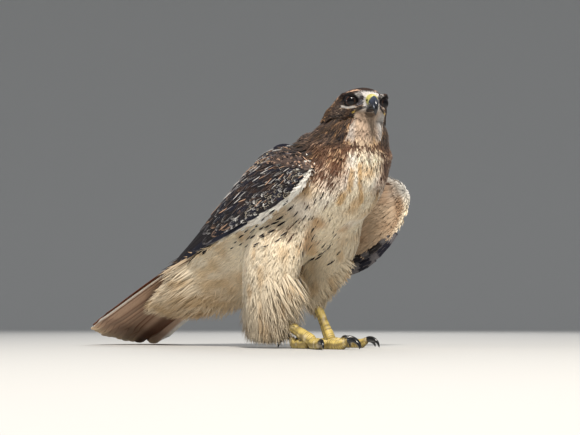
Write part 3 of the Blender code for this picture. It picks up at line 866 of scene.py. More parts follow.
# Painted shade in warm gold along the creases between the breast's tufts: the pixels each line runs between,
# and its radius in millimetres.
creaseShadePlaces = [((360, 166), (360, 184), 3.2), ((360, 184), (362, 203), 3.2), ((343, 196), (340, 203), 5.5),
               ((378, 192), (377, 200), 3.5), ((352, 172), (350, 190), 4.5)]
creaseShades = []


# Puts each streak on the surface, pointing the way the feathers lie there.
def placeStreaks():
    for px, py, length, width in streakPlaces:
        place = seenAt(px, py)
        out = bodyAt(place[None])[1]
        way = bodyFlow(place[None], out)[0]
        streaks.append((place, way, length, width))
    for start, end, radius in creaseShadePlaces:
        creaseShades.append((seenAt(*start), seenAt(*end), radius))


streakShape = {"seed": 24, "steps": [0, 0.2, 0.45, 0.7, 0.88, 1.0],
               "profile": [0.3, 0.8, 1.0, 0.85, 0.5, 0.0],
               "before": 0.62, "long": 1.25, "wide": 0.62, "deep": 1.2, "lift": (0.9, 1.3), "bend": 0.1,
               "ridge": 0.12, "cup": 0.05, "tone": (0.7, 1.5), "brownBelow": 1.15}


# A single dark feather for each streak, laid over the coat.
def buildStreaks(material):
    look = streakShape
    dice = np.random.default_rng(look["seed"])
    middle, way, length, width = (np.array([streak[k] for streak in streaks], float) for k in range(4))
    count, steps = len(streaks), np.array(look["steps"])
    roots = middle - way * length[:, None] * look["before"]
    value, out = bodyAt(roots)
    roots = roots - out * (value + look["deep"])[:, None]
    lifts = dice.uniform(*look["lift"], count)
    bends = dice.normal(0, look["bend"], count)
    places, outs = layOnBody(roots, way, length * look["long"], steps, lifts, bends, 1.0)
    points, faces = vaneShape(places, outs, width * look["wide"], np.array(look["profile"]), 3,
                              look["ridge"], look["cup"])
    tint = ink("blackBrown") + (ink("brown") - ink("blackBrown")) * (width < look["brownBelow"])[:, None]
    tone = dice.uniform(*look["tone"], (count, 1, 1))
    tint = np.broadcast_to(tint[:, None] * tone, (count, len(steps), 3))
    spots = vaneSpots(count, steps, 3)
    where = nearestSpot(roots, np.ones(len(skin["tri"]), bool))
    piece = putMesh("streakFeathers", points, faces, colours={"tint": spread(tint, 3)},
                    maps={"OFBake": bakeSpots(where, spots), "vane": spots.reshape(-1, 2)})
    settle(piece, material, "plumage_dark")


# Which way the coat lies. Each guide is a place and the direction there.
bodyGuides = [
    ((128, -22, 250), (-0.1, -0.08, -1)), ((103, -46, 250), (-0.35, -0.15, -0.93)),
    ((66, -20, 270), (-0.75, 0, -0.66)), ((75, 30, 260), (-0.7, 0.2, -0.7)),
    ((132, -12, 205), (-0.15, 0, -1)), ((115, -35, 205), (-0.35, 0, -0.95)),
    ((116, -15, 170), (-0.5, 0, -0.87)), ((120, 25, 200), (-0.3, 0, -0.95)),
    ((80, 0, 132), (-0.75, 0, -0.6)), ((25, 0, 112), (-0.93, 0, -0.3)),
    ((85, -60, 190), (-0.6, 0, -0.8)), ((25, -64, 150), (-0.86, 0, -0.5)),
    ((-50, -52, 125), (-0.88, 0, -0.47)), ((30, 60, 150), (-0.86, 0, -0.5)),
    ((-120, -25, 75), (-0.9, 0, -0.42)), ((-190, 0, 60), (-0.88, 0, -0.45)),
    ((-60, 0, 190), (-0.85, 0, -0.5)), ((30, 0, 250), (-0.88, 0, -0.35)),
    ((-130, 0, 125), (-0.87, 0, -0.48)), ((-60, -30, 90), (-0.9, 0, -0.4)),
]
legGuides = [
    ((40, -45, 160), (-0.45, 0, -0.9)), ((25, -68, 140), (-0.40, 0, -0.92)),
    ((5, -70, 90), (-0.22, 0, -0.98)), ((-5, -60, 45), (-0.22, 0, -1)),
    ((32, -50, 95), (-0.25, 0, -0.97)), ((16, -45, 40), (0.12, 0, -1)),
    ((-25, -45, 60), (-0.3, 0, -0.95)), ((60, 20, 125), (-0.5, 0, -0.86)),
    ((42, 22, 90), (-0.36, 0, -0.93)), ((22, 32, 62), (-0.25, 0, -0.97)),
    ((10, -20, 90), (-0.25, 0, -0.97)), ((20, 60, 100), (-0.3, 0, -0.95)),
]


# The guides' mean, weighted by exp(-distance^2 / 2 reach^2), laid flat on the surface.
def guided(points, out, guides, reach):
    total = np.zeros(points.shape)
    for place, way in guides:
        far = ((points - np.array(place, float)) ** 2).sum(-1)
        total += np.exp(-far / (2 * reach**2))[..., None] * unit(np.array(way, float))
        total += 1e-9 * unit(np.array(way, float))
    return unit(total - dot(total, out) * out)


def bodyFlow(points, out):
    return guided(points, out, bodyGuides, 30.0)


def legFlow(points, out):
    return guided(points, out, legGuides, 22.0)


# The loose locks at the hem fan out as they hang: forwards from the front of the leg and sideways from its
# sides, by how far they stand from the leg's own line.
def hemFlow(points, out):
    line = np.where(points[..., 1:2] < 0, [[0.0, -43.0, 0.0]], [[12.0, 32.0, 0.0]])
    off = points - line
    way = np.stack([0.26 + 0.022 * off[..., 0], 0.012 * off[..., 1], np.full(points.shape[:-1], -1.0)], -1)
    return unit(way)


def tailFlow(points, out):
    way = np.array([-0.87, 0.0, -0.49]) + np.zeros(points.shape)
    way[..., 1] = 0.006 * (points[..., 1] - 5)
    return unit(way)


def ventFlow(points, out):
    return unit(np.array([-0.75, 0.0, -0.66]) + np.zeros(points.shape))


# On the head the feathers stream away from the bill, and part round the eye.
def headFlow(points, out):
    local = toHead(points)
    sign = np.where(local[..., 1:2] < 0, -1.0, 1.0)
    way = unit(local - np.array([43.0, 0.0, 1.0])) + np.array([-0.35, 0, -0.10])
    eye = np.array(eyeOpening["centre"]) * np.concatenate([sign * 0 + 1, sign, sign * 0 + 1], -1)
    off = local - eye
    way = way + 1.1 * unit(off) * np.exp(-(off**2).sum(-1, keepdims=True) / (2 * 8.0**2))
    way = way @ headAxes.T
    return unit(way - dot(way, out) * out)


# Feathers.
# Carries each centre line from its root along its way, step by step, and holds it at a level that rises
# from the root's depth to the outer surface plus the lift: level = depth (t^0.8 - 1) + lift t^2.
# A loose lock leaves the surface by the share free of its length, and droops after that.
def layOnBody(roots, ways, lengths, steps, lifts, bends, grip, free=None, droop=0.0):
    value, out = bodyAt(roots)
    depth = np.maximum(-value, 0.2)
    place, way = roots.copy(), ways.copy()
    places, outs = [place], [out]
    for before, t in zip(steps[:-1], steps[1:]):
        place = place + way * (lengths * (t - before))[:, None]
        target = depth * (t**0.8 - 1) + lifts * t * t
        hold = 1 - (1 - grip) * (t if free is None else soft(0, free, t))
        for repeat in range(2):
            value, out = bodyAt(place)
            place = place + out * ((target - value) * hold)[:, None]
        side = np.cross(out, way)
        way = way + side * (bends * (t - before))[:, None] - np.array([0, 0, droop * (t - before)])
        way = unit(way - dot(way, out) * out * hold)
        places.append(place)
        outs.append(out)
    return np.stack(places, 1), np.stack(outs, 1)


# Closed vanes from centre lines. Across each one the top is ridge (1 - |c|^1.5) - cup c^2 above the line,
# for c from 1 at the left edge to -1 at the right; its underside is flat, and its last row is one point.
def vaneShape(places, outs, halves, profile, columns, ridge, cup):
    count, rows = places.shape[:2]
    along = unit(np.gradient(places, axis=1))
    side = unit(np.cross(outs, along))
    up = np.cross(along, side)
    c = np.linspace(1, -1, columns)
    reach = (halves[:, None] * profile[None, :])[:, :-1]
    flat = side[:, :-1, None] * (reach[..., None] * c)[..., None]
    high = ridge * (1 - np.abs(c) ** 1.5)[None, None] - cup * reach[..., None] * c**2
    body = places[:, :-1, None] + flat + up[:, :-1, None] * high[..., None]
    points = np.concatenate([body.reshape(count, -1, 3), places[:, -1:]], 1)
    each = (rows - 1) * columns + 1
    i, j = np.meshgrid(np.arange(rows - 2), np.arange(columns - 1), indexing="ij")
    a = (i * columns + j).ravel()
    top = np.stack([a, a + 1, a + 1 + columns, a + columns], -1)
    r = np.arange(rows - 2) * columns
    under = np.stack([r + columns - 1, r, r + columns, r + 2 * columns - 1], -1)
    last = (rows - 2) * columns
    tip = np.stack([last + np.arange(columns - 1), last + 1 + np.arange(columns - 1),
                    np.full(columns - 1, each - 1)], -1)
    tip = np.concatenate([tip, [[last + columns - 1, last, each - 1]]])
    cap = np.array([[0] + list(range(columns - 1, 0, -1))])
    shift = (np.arange(count) * each)[:, None, None]
    faces = [(f[None] + shift).reshape(-1, f.shape[1]) for f in (np.concatenate([top, under]), tip, cap)]
    if columns == 3:
        faces = [faces[0], np.concatenate([faces[1], faces[2]])]
    return points.reshape(-1, 3), faces


# The two numbers that the shader reads on a vane: 0 to 1 across it, and root to tip along it.
def vaneSpots(count, steps, columns):
    across = np.linspace(0, 1, columns)
    body = np.stack([np.broadcast_to(across[None, :], (len(steps) - 1, columns)),
                     np.broadcast_to(steps[:-1, None], (len(steps) - 1, columns))], -1).reshape(-1, 2)
    one = np.concatenate([body, [[0.5, 1.0]]])
    return np.broadcast_to(one, (count, *one.shape))


# Spreads a row's worth of values, (vane, row, parts), over the points of vaneShape.
def spread(values, columns):
    count, rows, parts = values.shape
    body = np.repeat(values[:, :-1], columns, axis=1)
    return np.concatenate([body, values[:, -1:]], 1).reshape(-1, parts)


# The bill, cere and eyes.
headParts = {
    "cere": [(26, 0, 1.4, 8.0, 8.4, 7.0), (31, 0, 1.6, 7.6, 8.4, 6.8), (35.5, -0.2, 1.3, 7.1, 8.3, 6.4),
             (39.5, -0.5, 0.6, 6.4, 7.8, 6.0), (42.0, -0.7, -0.2, 5.7, 7.1, 5.5)],
    "upper": [(33, 0, 0.6, 6.1, 6.9, 6.2), (40, -0.5, 0.0, 5.8, 7.1, 6.0), (46, -1.0, -2.3, 5.2, 6.5, 5.7),
              (50.4, -1.3, -6.6, 4.1, 5.1, 4.7), (52.5, -1.4, -11.6, 2.7, 3.5, 3.1),
              (52.1, -1.4, -15.8, 1.4, 1.9, 1.6), (50.9, -1.4, -18.4, 0.35, 0.5, 0.4)],
    "lower": [(25, 0, -6.8, 6.9, 1.6, 3.5), (36, -0.3, -7.3, 5.9, 1.4, 3.3), (43, -0.8, -8.5, 4.1, 1.2, 2.7),
              (47.0, -1.0, -9.7, 1.8, 0.9, 1.3)],
    "mouth": [(42.5, 7.2, -6.6), (37.5, 9.8, -6.9), (32.5, 13.3, -7.8), (27.8, 17.2, -9.8),
              (23.6, 20.6, -11.8)],
    "lip": 0.6, "lipProfile": [0.5, 0.8, 1.0, 1.1, 0.6], "lipMesh": (14, 10),
    "rolls": [(0.75, 0.8), (-0.75, 1.0)],  # how far each lip stands from the mouth's line, and its size
    "taper": 0.28, "tooth": (0.9, 0.42, 0.09),  # the tooth's depth, its place along the bill and its reach
    "nostril": (38.6, 6.5, 1.4), "nostrilSize": 1.25, "nostrilOut": (0.45, 0.87, 0.2), "nostrilShift": -0.5,
    "nostrilFlat": 0.45, "nostrilLong": 1.3, "nostrilMesh": (10, 12), "nostrilInk": (0.006, 0.005, 0.005, 1),
}


# How far a point stands from the line of the mouth, on either side.
def mouthGap(local):
    side, line = folded(local), headParts["mouth"]
    return np.min([capsule(side, a, b, 0.0) for a, b in zip(line[:-1], line[1:])], axis=0)


patchSize = 0.003


def bakeSpots(where, spots):
    return (where[:, None] + (spots - 0.5) * patchSize).reshape(-1, 2)


# How much single feathers differ, and how their dark centres and pale edges are laid.
coatMix = {"length": (0.75, 1.2), "width": (0.8, 1.2), "floorGap": 2.5, "steepest": 0.2, "short": (0.85, 1.0),
           "eyeRing": 1.02, "mouthGap": 1.0, "lowest": 0.6, "clump": 1.4, "clumpSeed": 7, "chance": 0.55,
           "clumpLow": 0.2, "clumpRange": 0.6, "darkEdge": 0.06, "darkFrom": 0.35, "rootShade": 0.86,
           "shadeTo": 0.5, "edgePower": 1.5, "edgeFrom": (0.1, 0.6)}
coatDefaults = {"bend": 0.25, "stray": 0.12, "grip": 1.0, "ridge": 0.16, "cup": 0.06, "edges": 0.55,
                "toneSpread": 0.09, "free": None, "droop": 0.0,
                "grow": (0.0, 2, 0.0, 1.0)}  # share longer, axis (0 to 2 body, 3 to 5 head), and its range


# One piece of the body's coat, from its own dictionary: roots, centre lines, vanes and colours.
def coat(name, shape, chosen, flow, material, slot):
    spec, mix = {**coatDefaults, **shape}, coatMix
    dice = np.random.default_rng(spec["seed"])
    roots, where = scatter(chosen, spec["spacing"], dice)
    count = len(roots)
    value, out = bodyAt(roots)
    steps = np.array(spec["steps"])
    ways = flow(roots, out)
    side = np.cross(out, ways)
    ways = unit(ways + side * dice.normal(0, spec["stray"], (count, 1)))
    more, axis, start, end = spec["grow"]
    size = 1 + more * soft(start, end, np.concatenate([roots, toHead(roots)], 1)[:, axis])
    lengths = spec["length"] * size * dice.uniform(*mix["length"], count)
    room = (roots[:, 2] - mix["floorGap"]) / np.maximum(-ways[:, 2], mix["steepest"])
    lengths = np.minimum(lengths, room * dice.uniform(*mix["short"], count))
    halves = spec["width"] / 2 * np.sqrt(size) * dice.uniform(*mix["width"], count)
    lifts = dice.normal(spec["lift"], spec["liftSpread"], count)
    bends = dice.normal(0, spec["bend"], count)
    places, outs = layOnBody(roots, ways, lengths, steps, lifts, bends,
                             spec["grip"], spec["free"], spec["droop"])
    local = toHead(places)
    clear = (eyeRing(local)[0] > mix["eyeRing"]).all(1) & (mouthGap(local) > mix["mouthGap"]).all(1)
    clear &= (places[..., 2] > mix["lowest"]).all(1)
    places, outs, where, halves = places[clear], outs[clear], where[clear], halves[clear]
    count = len(places)
    points, faces = vaneShape(places, outs, halves, np.array(spec["profile"]), 3, spec["ridge"], spec["cup"])
    base, dark, share = paintAt(places, np.repeat(ownerAt(roots[clear])[:, None], len(steps), 1))
    # neighbours in a clump turn dark together
    clump = drift(places[:, 1], spec["width"] * mix["clump"], spec["seed"] + mix["clumpSeed"])
    clump = np.clip((clump - mix["clumpLow"]) / mix["clumpRange"], 0, 1)
    chance = mix["chance"] * dice.random(count) + (1 - mix["chance"]) * clump
    isDark = soft(-mix["darkEdge"], mix["darkEdge"], share[:, len(steps) // 2] - chance)
    tint = mixed(base, dark, soft(0.0, mix["darkFrom"], steps)[None, :] * isDark[:, None])
    tone = dice.normal(1.0, spec["toneSpread"], (count, 1, 1))
    # darker towards each root: the grey down there and painted shade between the layers
    shade = mix["rootShade"] + (1 - mix["rootShade"]) * soft(0, mix["shadeTo"], steps)
    shade = tone * shade[None, :, None]
    edgeShare = spec["edges"] * dice.random(count) ** mix["edgePower"] * isDark
    edge = mixed(tint, base, edgeShare[:, None] * soft(*mix["edgeFrom"], steps)[None, :])
    tint, edge = (spread(np.clip(part * shade, 0, 1), 3).reshape(count, -1, 3) for part in (tint, edge))
    middle = np.arange(tint.shape[1]) % 3 == 1
    tint = np.where(middle[None, :, None], tint, edge).reshape(-1, 3)
    spots = vaneSpots(count, steps, 3)
    piece = putMesh(name, points, faces, colours={"tint": tint},
                    maps={"OFBake": bakeSpots(where, spots), "vane": spots.reshape(-1, 2)})
    print(name, count, "feathers", triangleCount(faces), "triangles")
    return settle(piece, material, slot)


# Materials.
# Adds a node to a tree, sets its properties, and fills its inputs with values or other nodes' outputs.
def addNode(tree, kind, inputs=None, **settings):
    node = tree.nodes.new("ShaderNode" + kind)
    for key, value in settings.items():
        setattr(node, key, value)
    for key, value in (inputs or {}).items():
        if isinstance(value, bpy.types.NodeSocket):
            tree.links.new(value, node.inputs[key])
        else:
            node.inputs[key].default_value = value
    return node


def calc(tree, operation, a, b=None, c=None):
    inputs = {i: v for i, v in enumerate((a, b, c)) if v is not None}
    return addNode(tree, "Math", inputs, operation=operation).outputs[0]


def blendColours(tree, share, a, b):
    return addNode(tree, "Mix", {0: share, 6: a, 7: b}, data_type="RGBA").outputs[2]


def readAttribute(tree, name):
    return addNode(tree, "Attribute", attribute_name=name)


# The parts of a vector, or of the vane's own map.
def split(tree, vector=None):
    if vector is None:
        vector = addNode(tree, "UVMap", uv_map="vane").outputs[0]
    return addNode(tree, "SeparateXYZ", {0: vector}).outputs


def objectPlace(tree):
    return addNode(tree, "TexCoord").outputs["Object"]


def objectNoise(tree, scale, detail, **more):
    inputs = {"Vector": objectPlace(tree), "Scale": scale, "Detail": detail, **more}
    return addNode(tree, "TexNoise", inputs).outputs[0]


def scaled(tree, colour, amount):
    return addNode(tree, "VectorMath", {0: colour, "Scale": amount}, operation="SCALE").outputs[0]


def addBump(tree, shader, height, strength, distance):
    bump = addNode(tree, "Bump", {"Height": height, "Strength": strength, "Distance": distance})
    tree.links.new(bump.outputs[0], shader.inputs["Normal"])


def newLook(name, roughness, specular=0.3):
    look = bpy.data.materials.new(name)
    look.use_nodes = True
    shader = look.node_tree.nodes["Principled BSDF"]
    shader.inputs["Roughness"].default_value = roughness
    shader.inputs["Specular IOR Level"].default_value = specular
    return look, look.node_tree, shader


def makeGroup(name, inputs, output):
    group = bpy.data.node_groups.new(name, "ShaderNodeTree")
    for key, start in inputs.items():
        group.interface.new_socket(key, in_out="INPUT", socket_type="NodeSocketFloat").default_value = start
    group.interface.new_socket(output, in_out="OUTPUT", socket_type="NodeSocketFloat")
    return group, group.nodes.new("NodeGroupInput").outputs, group.nodes.new("NodeGroupOutput").inputs[0]


# Barbs: noise stretched along the vane. Its rows slant outwards by Slant from the shaft to the edge.
def makeGrainGroup():
    group, given, result = makeGroup("vaneGrain", {"Strands": 3.0, "Rows": 1.0, "Slant": 0.0}, "Shade")
    across, along = split(group)[:2]
    place = split(group, objectPlace(group))
    fromShaft = calc(group, "ABSOLUTE", calc(group, "SUBTRACT", across, 0.5))
    slanted = calc(group, "SUBTRACT", along, calc(group, "MULTIPLY", fromShaft, given["Slant"]))
    row = calc(group, "MULTIPLY", slanted, given["Rows"])
    strand = calc(group, "MULTIPLY", across, given["Strands"])
    other = calc(group, "MULTIPLY", calc(group, "ADD", place[0], place[2]), grainShape["perMetre"])
    spot = addNode(group, "CombineXYZ", {0: strand, 1: row, 2: other}).outputs[0]
    noise = addNode(group, "TexNoise", {"Vector": spot, "Scale": 1.0, "Detail": grainShape["detail"],
                                        "Roughness": grainShape["roughness"]})
    group.links.new(noise.outputs[0], result)
    return group


# Feather markings from each vane's own numbers. Its pattern attribute holds the half width of the dark
# shaft streak, the width of the side edges and the number of bars. Its trim attribute holds the width
# of the tip's band, how ragged the marks are, and which side is marked more. The mask is the largest
# of streak - |across|, edge - (1 - |across|), along + 0.18 across^2 - (1 - tip), and sin(bars) - 0.35.
def makeMarkGroup():
    group, given, result = makeGroup("vaneMarks", {"Wobble": 0.5}, "Mask")
    shape = vaneMarks
    across, along = split(group)[:2]
    pattern = split(group, readAttribute(group, "pattern").outputs["Vector"])
    trim = split(group, readAttribute(group, "trim").outputs["Vector"])
    ripple = calc(group, "MULTIPLY", calc(group, "SUBTRACT", given["Wobble"], 0.5), trim[1])
    signed = calc(group, "SUBTRACT", calc(group, "MULTIPLY", across, 2.0), 1.0)
    off = calc(group, "ABSOLUTE", signed)
    streak = calc(group, "SUBTRACT", calc(group, "SUBTRACT", pattern[0], off), ripple)
    lean = calc(group, "MULTIPLY", signed, trim[2])
    edge = calc(group, "ADD", calc(group, "SUBTRACT", calc(group, "ADD", pattern[1], off), 1.0), lean)
    edge = calc(group, "ADD", edge, calc(group, "MULTIPLY", ripple, shape["edgeRipple"]))
    curve = calc(group, "MULTIPLY", calc(group, "POWER", off, 2.0), shape["tipCurve"])
    tip = calc(group, "SUBTRACT", calc(group, "ADD", calc(group, "ADD", along, curve), trim[0]), 1.0)
    tip = calc(group, "ADD", tip, ripple)
    shifted = calc(group, "ADD", along, calc(group, "MULTIPLY", ripple, shape["barRipple"]))
    turns = calc(group, "MULTIPLY", pattern[2], 2 * math.pi)
    wave = calc(group, "SINE", calc(group, "MULTIPLY", shifted, turns))
    hasBars = calc(group, "GREATER_THAN", pattern[2], 0.5)
    bars = calc(group, "MULTIPLY", calc(group, "ADD", wave, shape["barWidth"]), hasBars)
    bars = calc(group, "SUBTRACT", bars, 1.0)
    most = calc(group, "MAXIMUM", calc(group, "MAXIMUM", streak, edge), calc(group, "MAXIMUM", tip, bars))
    ends = {"Value": most, "From Min": shape["from"], "From Max": shape["to"]}
    group.links.new(addNode(group, "MapRange", ends).outputs[0], result)
    return group


grainShape = {"perMetre": 60.0, "detail": 2.0, "roughness": 0.6, "low": 0.25, "high": 0.75, "bump": 0.5,
              "specular": 0.25}
vaneMarks = {"edgeRipple": 1.5, "tipCurve": 0.18, "barRipple": 0.1, "barWidth": 0.65, "from": -0.03,
             "to": 0.05}
# Each feather look: its name, barbs across and along, their slant and contrast, and its finish.
featherLooks = {
    "down": {"name": "softFeather", "Strands": 3.0, "Rows": 1.2, "Slant": 0.0, "contrast": 0.16,
             "roughness": 0.85, "bump": 0.0003, "sheen": 0.15, "marked": False},
    "short": {"name": "shortFeather", "Strands": 2.2, "Rows": 1.0, "Slant": 0.0, "contrast": 0.18,
              "roughness": 0.8, "bump": 0.0002, "sheen": 0.05, "marked": False},
    "covert": {"name": "covertFeather", "Strands": 5.0, "Rows": 26.0, "Slant": 0.55, "contrast": 0.20,
               "roughness": 0.62, "bump": 0.0003, "sheen": 0.0, "marked": True},
    "flight": {"name": "flightFeather", "Strands": 4.0, "Rows": 90.0, "Slant": 0.25, "contrast": 0.14,
               "roughness": 0.5, "bump": 0.0003, "sheen": 0.0, "marked": True},
}


# A feather's finish: its own colour, barbs that lighten and darken it, and markings where marked.
def featherLook(spec, grainGroup, markGroup):
    look, tree, shader = newLook(spec["name"], spec["roughness"], grainShape["specular"])
    shader.inputs["Sheen Weight"].default_value = spec["sheen"]
    colour = readAttribute(tree, "tint").outputs["Color"]
    grain = addNode(tree, "Group", node_tree=grainGroup)
    for key in ("Strands", "Rows", "Slant"):
        grain.inputs[key].default_value = spec[key]
    shade = grain.outputs["Shade"]
    if spec["marked"]:
        mark = readAttribute(tree, "mark")
        masks = addNode(tree, "Group", node_tree=markGroup)
        tree.links.new(shade, masks.inputs["Wobble"])
        share = calc(tree, "MULTIPLY", masks.outputs["Mask"], mark.outputs["Alpha"])
        colour = blendColours(tree, share, colour, mark.outputs["Color"])
    ends = {"Value": shade, "From Min": grainShape["low"], "From Max": grainShape["high"],
            "To Min": 1 - spec["contrast"], "To Max": 1 + spec["contrast"]}
    amount = addNode(tree, "MapRange", ends).outputs[0]
    tree.links.new(scaled(tree, colour, amount), shader.inputs["Base Color"])
    addBump(tree, shader, shade, grainShape["bump"], spec["bump"])
    return look


# Bare skin, in the colours of its own points: noise of a scale and detail darkens and lightens it and
# stands up as its bump.
bareLooks = {
    "skin": {"name": "underSkin", "roughness": 0.8, "specular": 0.2, "scale": 700.0, "detail": 3.0,
             "low": 0.7, "high": 1.2, "bump": 1.0, "depth": 0.0004},
    "foot": {"name": "scaledSkin", "roughness": 0.5, "specular": 0.45, "scale": 600.0, "detail": 4.0,
             "low": 0.75, "high": 1.2, "bump": 0.6, "depth": 0.0003},
}


def bareLook(spec):
    look, tree, shader = newLook(spec["name"], spec["roughness"], spec["specular"])
    colour = readAttribute(tree, "tint").outputs["Color"]
    noise = objectNoise(tree, spec["scale"], spec["detail"])
    ends = {"Value": noise, "To Min": spec["low"], "To Max": spec["high"]}
    amount = addNode(tree, "MapRange", ends).outputs[0]
    tree.links.new(scaled(tree, colour, amount), shader.inputs["Base Color"])
    addBump(tree, shader, noise, spec["bump"], spec["depth"])
    return look


def makeLooks():
    grain, marks = makeGrainGroup(), makeMarkGroup()
    looks = {key: featherLook(spec, grain, marks) for key, spec in featherLooks.items()}
    looks.update({key: bareLook(spec) for key, spec in bareLooks.items()})
    return looks


# The body's coat, piece by piece.
narrow = {"steps": [0, 0.3, 0.6, 0.85, 1.0], "profile": [0.55, 1.0, 0.95, 0.55, 0.0]}
locks = {"steps": [0, 0.2, 0.4, 0.6, 0.8, 1.0], "profile": [0.4, 0.9, 1.0, 0.8, 0.45, 0.0]}
small = {"steps": [0, 0.4, 0.8, 1.0], "profile": [0.6, 1.0, 0.7, 0.0]}
coatShape = {
    "coatFace": {**small, "spacing": 0.95, "length": 4.4, "width": 0.95, "lift": 0.05, "liftSpread": 0.10,
                 "edges": 0.3, "stray": 0.14, "ridge": 0.10, "seed": 11, "grow": (1.0, 3, 24.0, 4.0)},
    "coatCrown": {**small, "spacing": 1.25, "length": 8.5, "width": 1.6, "lift": 0.2, "liftSpread": 0.25,
                  "edges": 0.4, "ridge": 0.14, "seed": 12},
    "coatNeck": {**narrow, "spacing": 1.65, "length": 16.0, "width": 2.0, "lift": 0.4, "liftSpread": 0.4,
                 "edges": 0.5, "toneSpread": 0.2, "seed": 13},
    "coatBreast": {**narrow, "spacing": 2.15, "length": 22.0, "width": 2.3, "lift": 0.2, "liftSpread": 0.25,
                   "stray": 0.10, "seed": 14},
    "coatBelly": {**narrow, "spacing": 2.25, "length": 22.0, "width": 2.3, "lift": 0.2, "liftSpread": 0.25,
                  "stray": 0.10, "seed": 15},
    "coatBack": {**narrow, "spacing": 4.4, "length": 24.0, "width": 6.5, "lift": 0.5, "liftSpread": 0.4,
                 "edges": 0.3, "bend": 0.1, "stray": 0.06, "ridge": 0.5, "cup": 0.12, "seed": 16},
    "trousersRight": {**narrow, "spacing": 2.05, "length": 30.0, "width": 2.0, "lift": 0.3,
                      "liftSpread": 0.35, "bend": 0.28, "stray": 0.08, "grip": 0.6, "seed": 17,
                      "grow": (0.4, 2, 95.0, 40.0)},
    "trousersLeft": {**narrow, "spacing": 2.1, "length": 27.0, "width": 2.0, "lift": 0.2, "liftSpread": 0.3,
                     "bend": 0.28, "stray": 0.08, "grip": 0.65, "seed": 18},
    "hemRight": {**locks, "spacing": 1.9, "length": 44.0, "width": 1.7, "lift": 1.2, "liftSpread": 0.9,
                 "bend": 0.4, "grip": 0.0, "ridge": 0.1, "seed": 22, "free": 0.25, "droop": 0.35},
    "hemLeft": {**locks, "spacing": 2.4, "length": 28.0, "width": 2.0, "lift": 0.8, "liftSpread": 0.8,
                "bend": 0.4, "grip": 0.1, "ridge": 0.2, "seed": 23, "free": 0.4, "droop": 0.2},
    "undertail": {**locks, "spacing": 2.8, "length": 46.0, "width": 2.8, "lift": 0.5, "liftSpread": 0.4,
                  "bend": 0.2, "stray": 0.05, "grip": 0.0, "ridge": 0.25, "seed": 25, "free": 0.25},
    "ventLocks": {**locks, "spacing": 4.4, "length": 34.0, "width": 1.8, "lift": 1.2, "liftSpread": 1.0,
                  "bend": 0.5, "stray": 0.15, "grip": 0.0, "ridge": 0.2, "seed": 26, "free": 0.3,
                  "droop": 0.3},
    "wingEdge": {**narrow, "spacing": 1.6, "length": 7.5, "width": 1.9, "lift": 0.3, "liftSpread": 0.15,
                 "bend": 0.15, "stray": 0.08, "seed": 20},
    "wingLining": {**narrow, "spacing": 3.3, "length": 22.0, "width": 4.2, "lift": 0.3, "liftSpread": 0.3,
                   "bend": 0.12, "stray": 0.08, "ridge": 0.18, "seed": 21},
    "tailCoverts": {**locks, "spacing": 2.7, "length": 34.0, "width": 2.6, "lift": 0.2, "liftSpread": 0.3,
                    "stray": 0.06, "grip": 0.25, "ridge": 0.2, "seed": 19, "grow": (0.7, 0, -90.0, -170.0)},
}
# Where one piece ends and the next begins, along the body's axes and the head's.
coatLimits = {"headLow": -17, "headFar": 50, "faceFront": 4, "backUp": 0.25, "backFront": 85,
              "ventFront": -45, "bellyFront": 62, "hemHeight": 50, "hemRagged": 60,
              "hemNoise": (3.5, 27), "leftHem": 12,
              "undertailFront": -118, "locksDown": -0.3, "locksFront": -20}


def dressBody(looks):
    at, middle, out = coatLimits, skin["middle"], skin["out"]
    local, isNode = toHead(middle), nodeMasks(skin["owner"])
    headNeck, trunk = isNode["head"] | isNode["neck"], isNode["trunk"]
    headish = headNeck & (local[:, 2] > at["headLow"]) & (np.linalg.norm(local, axis=1) < at["headFar"])
    face = headish & (local[:, 0] > at["faceFront"])
    x, z = middle[:, 0], middle[:, 2]
    above = z - bodyPaint["rumpHeight"] - bodyPaint["backSlope"] * (x - bodyPaint["rumpPlace"])
    back = trunk & (out[:, 2] > at["backUp"]) & (above > 0) & (x < at["backFront"])
    vent = trunk & ~back & (x < at["ventFront"])
    belly = trunk & ~back & ~vent & (x < at["bellyFront"])
    hem = at["hemHeight"] + at["hemRagged"] * drift(middle, *at["hemNoise"])
    right, left = isNode["thigh_right"], isNode["thigh_left"]
    under = (vent | belly) & (out[:, 2] < at["locksDown"]) & (x < at["locksFront"])
    pieces = [
        ("coatFace", face, headFlow, "short", "plumage_dark"),
        ("coatCrown", headish & ~face, headFlow, "short", "plumage_dark"),
        ("coatNeck", headNeck & ~headish, bodyFlow, "down", "plumage_dark"),
        ("coatBreast", trunk & ~back & ~vent & ~belly, bodyFlow, "down", "plumage_pale"),
        ("coatBelly", belly, bodyFlow, "down", "plumage_pale"),
        ("coatBack", back, bodyFlow, "down", "plumage_dark"),
        ("trousersRight", right, legFlow, "down", "plumage_pale"),
        ("trousersLeft", left, legFlow, "down", "plumage_pale"),
        ("hemRight", right & (z < hem), hemFlow, "down", "plumage_pale"),
        ("hemLeft", left & (z < hem + at["leftHem"]), hemFlow, "down", "plumage_pale"),
        ("tailCoverts", vent, bodyFlow, "down", "plumage_pale"),
        ("undertail", vent & (x < at["undertailFront"]), tailFlow, "down", "plumage_pale"),
        ("ventLocks", under, ventFlow, "down", "plumage_pale"),
    ]
    for name, chosen, flow, look, slot in pieces:
        coat(name, coatShape[name], chosen, flow, looks[look], slot)


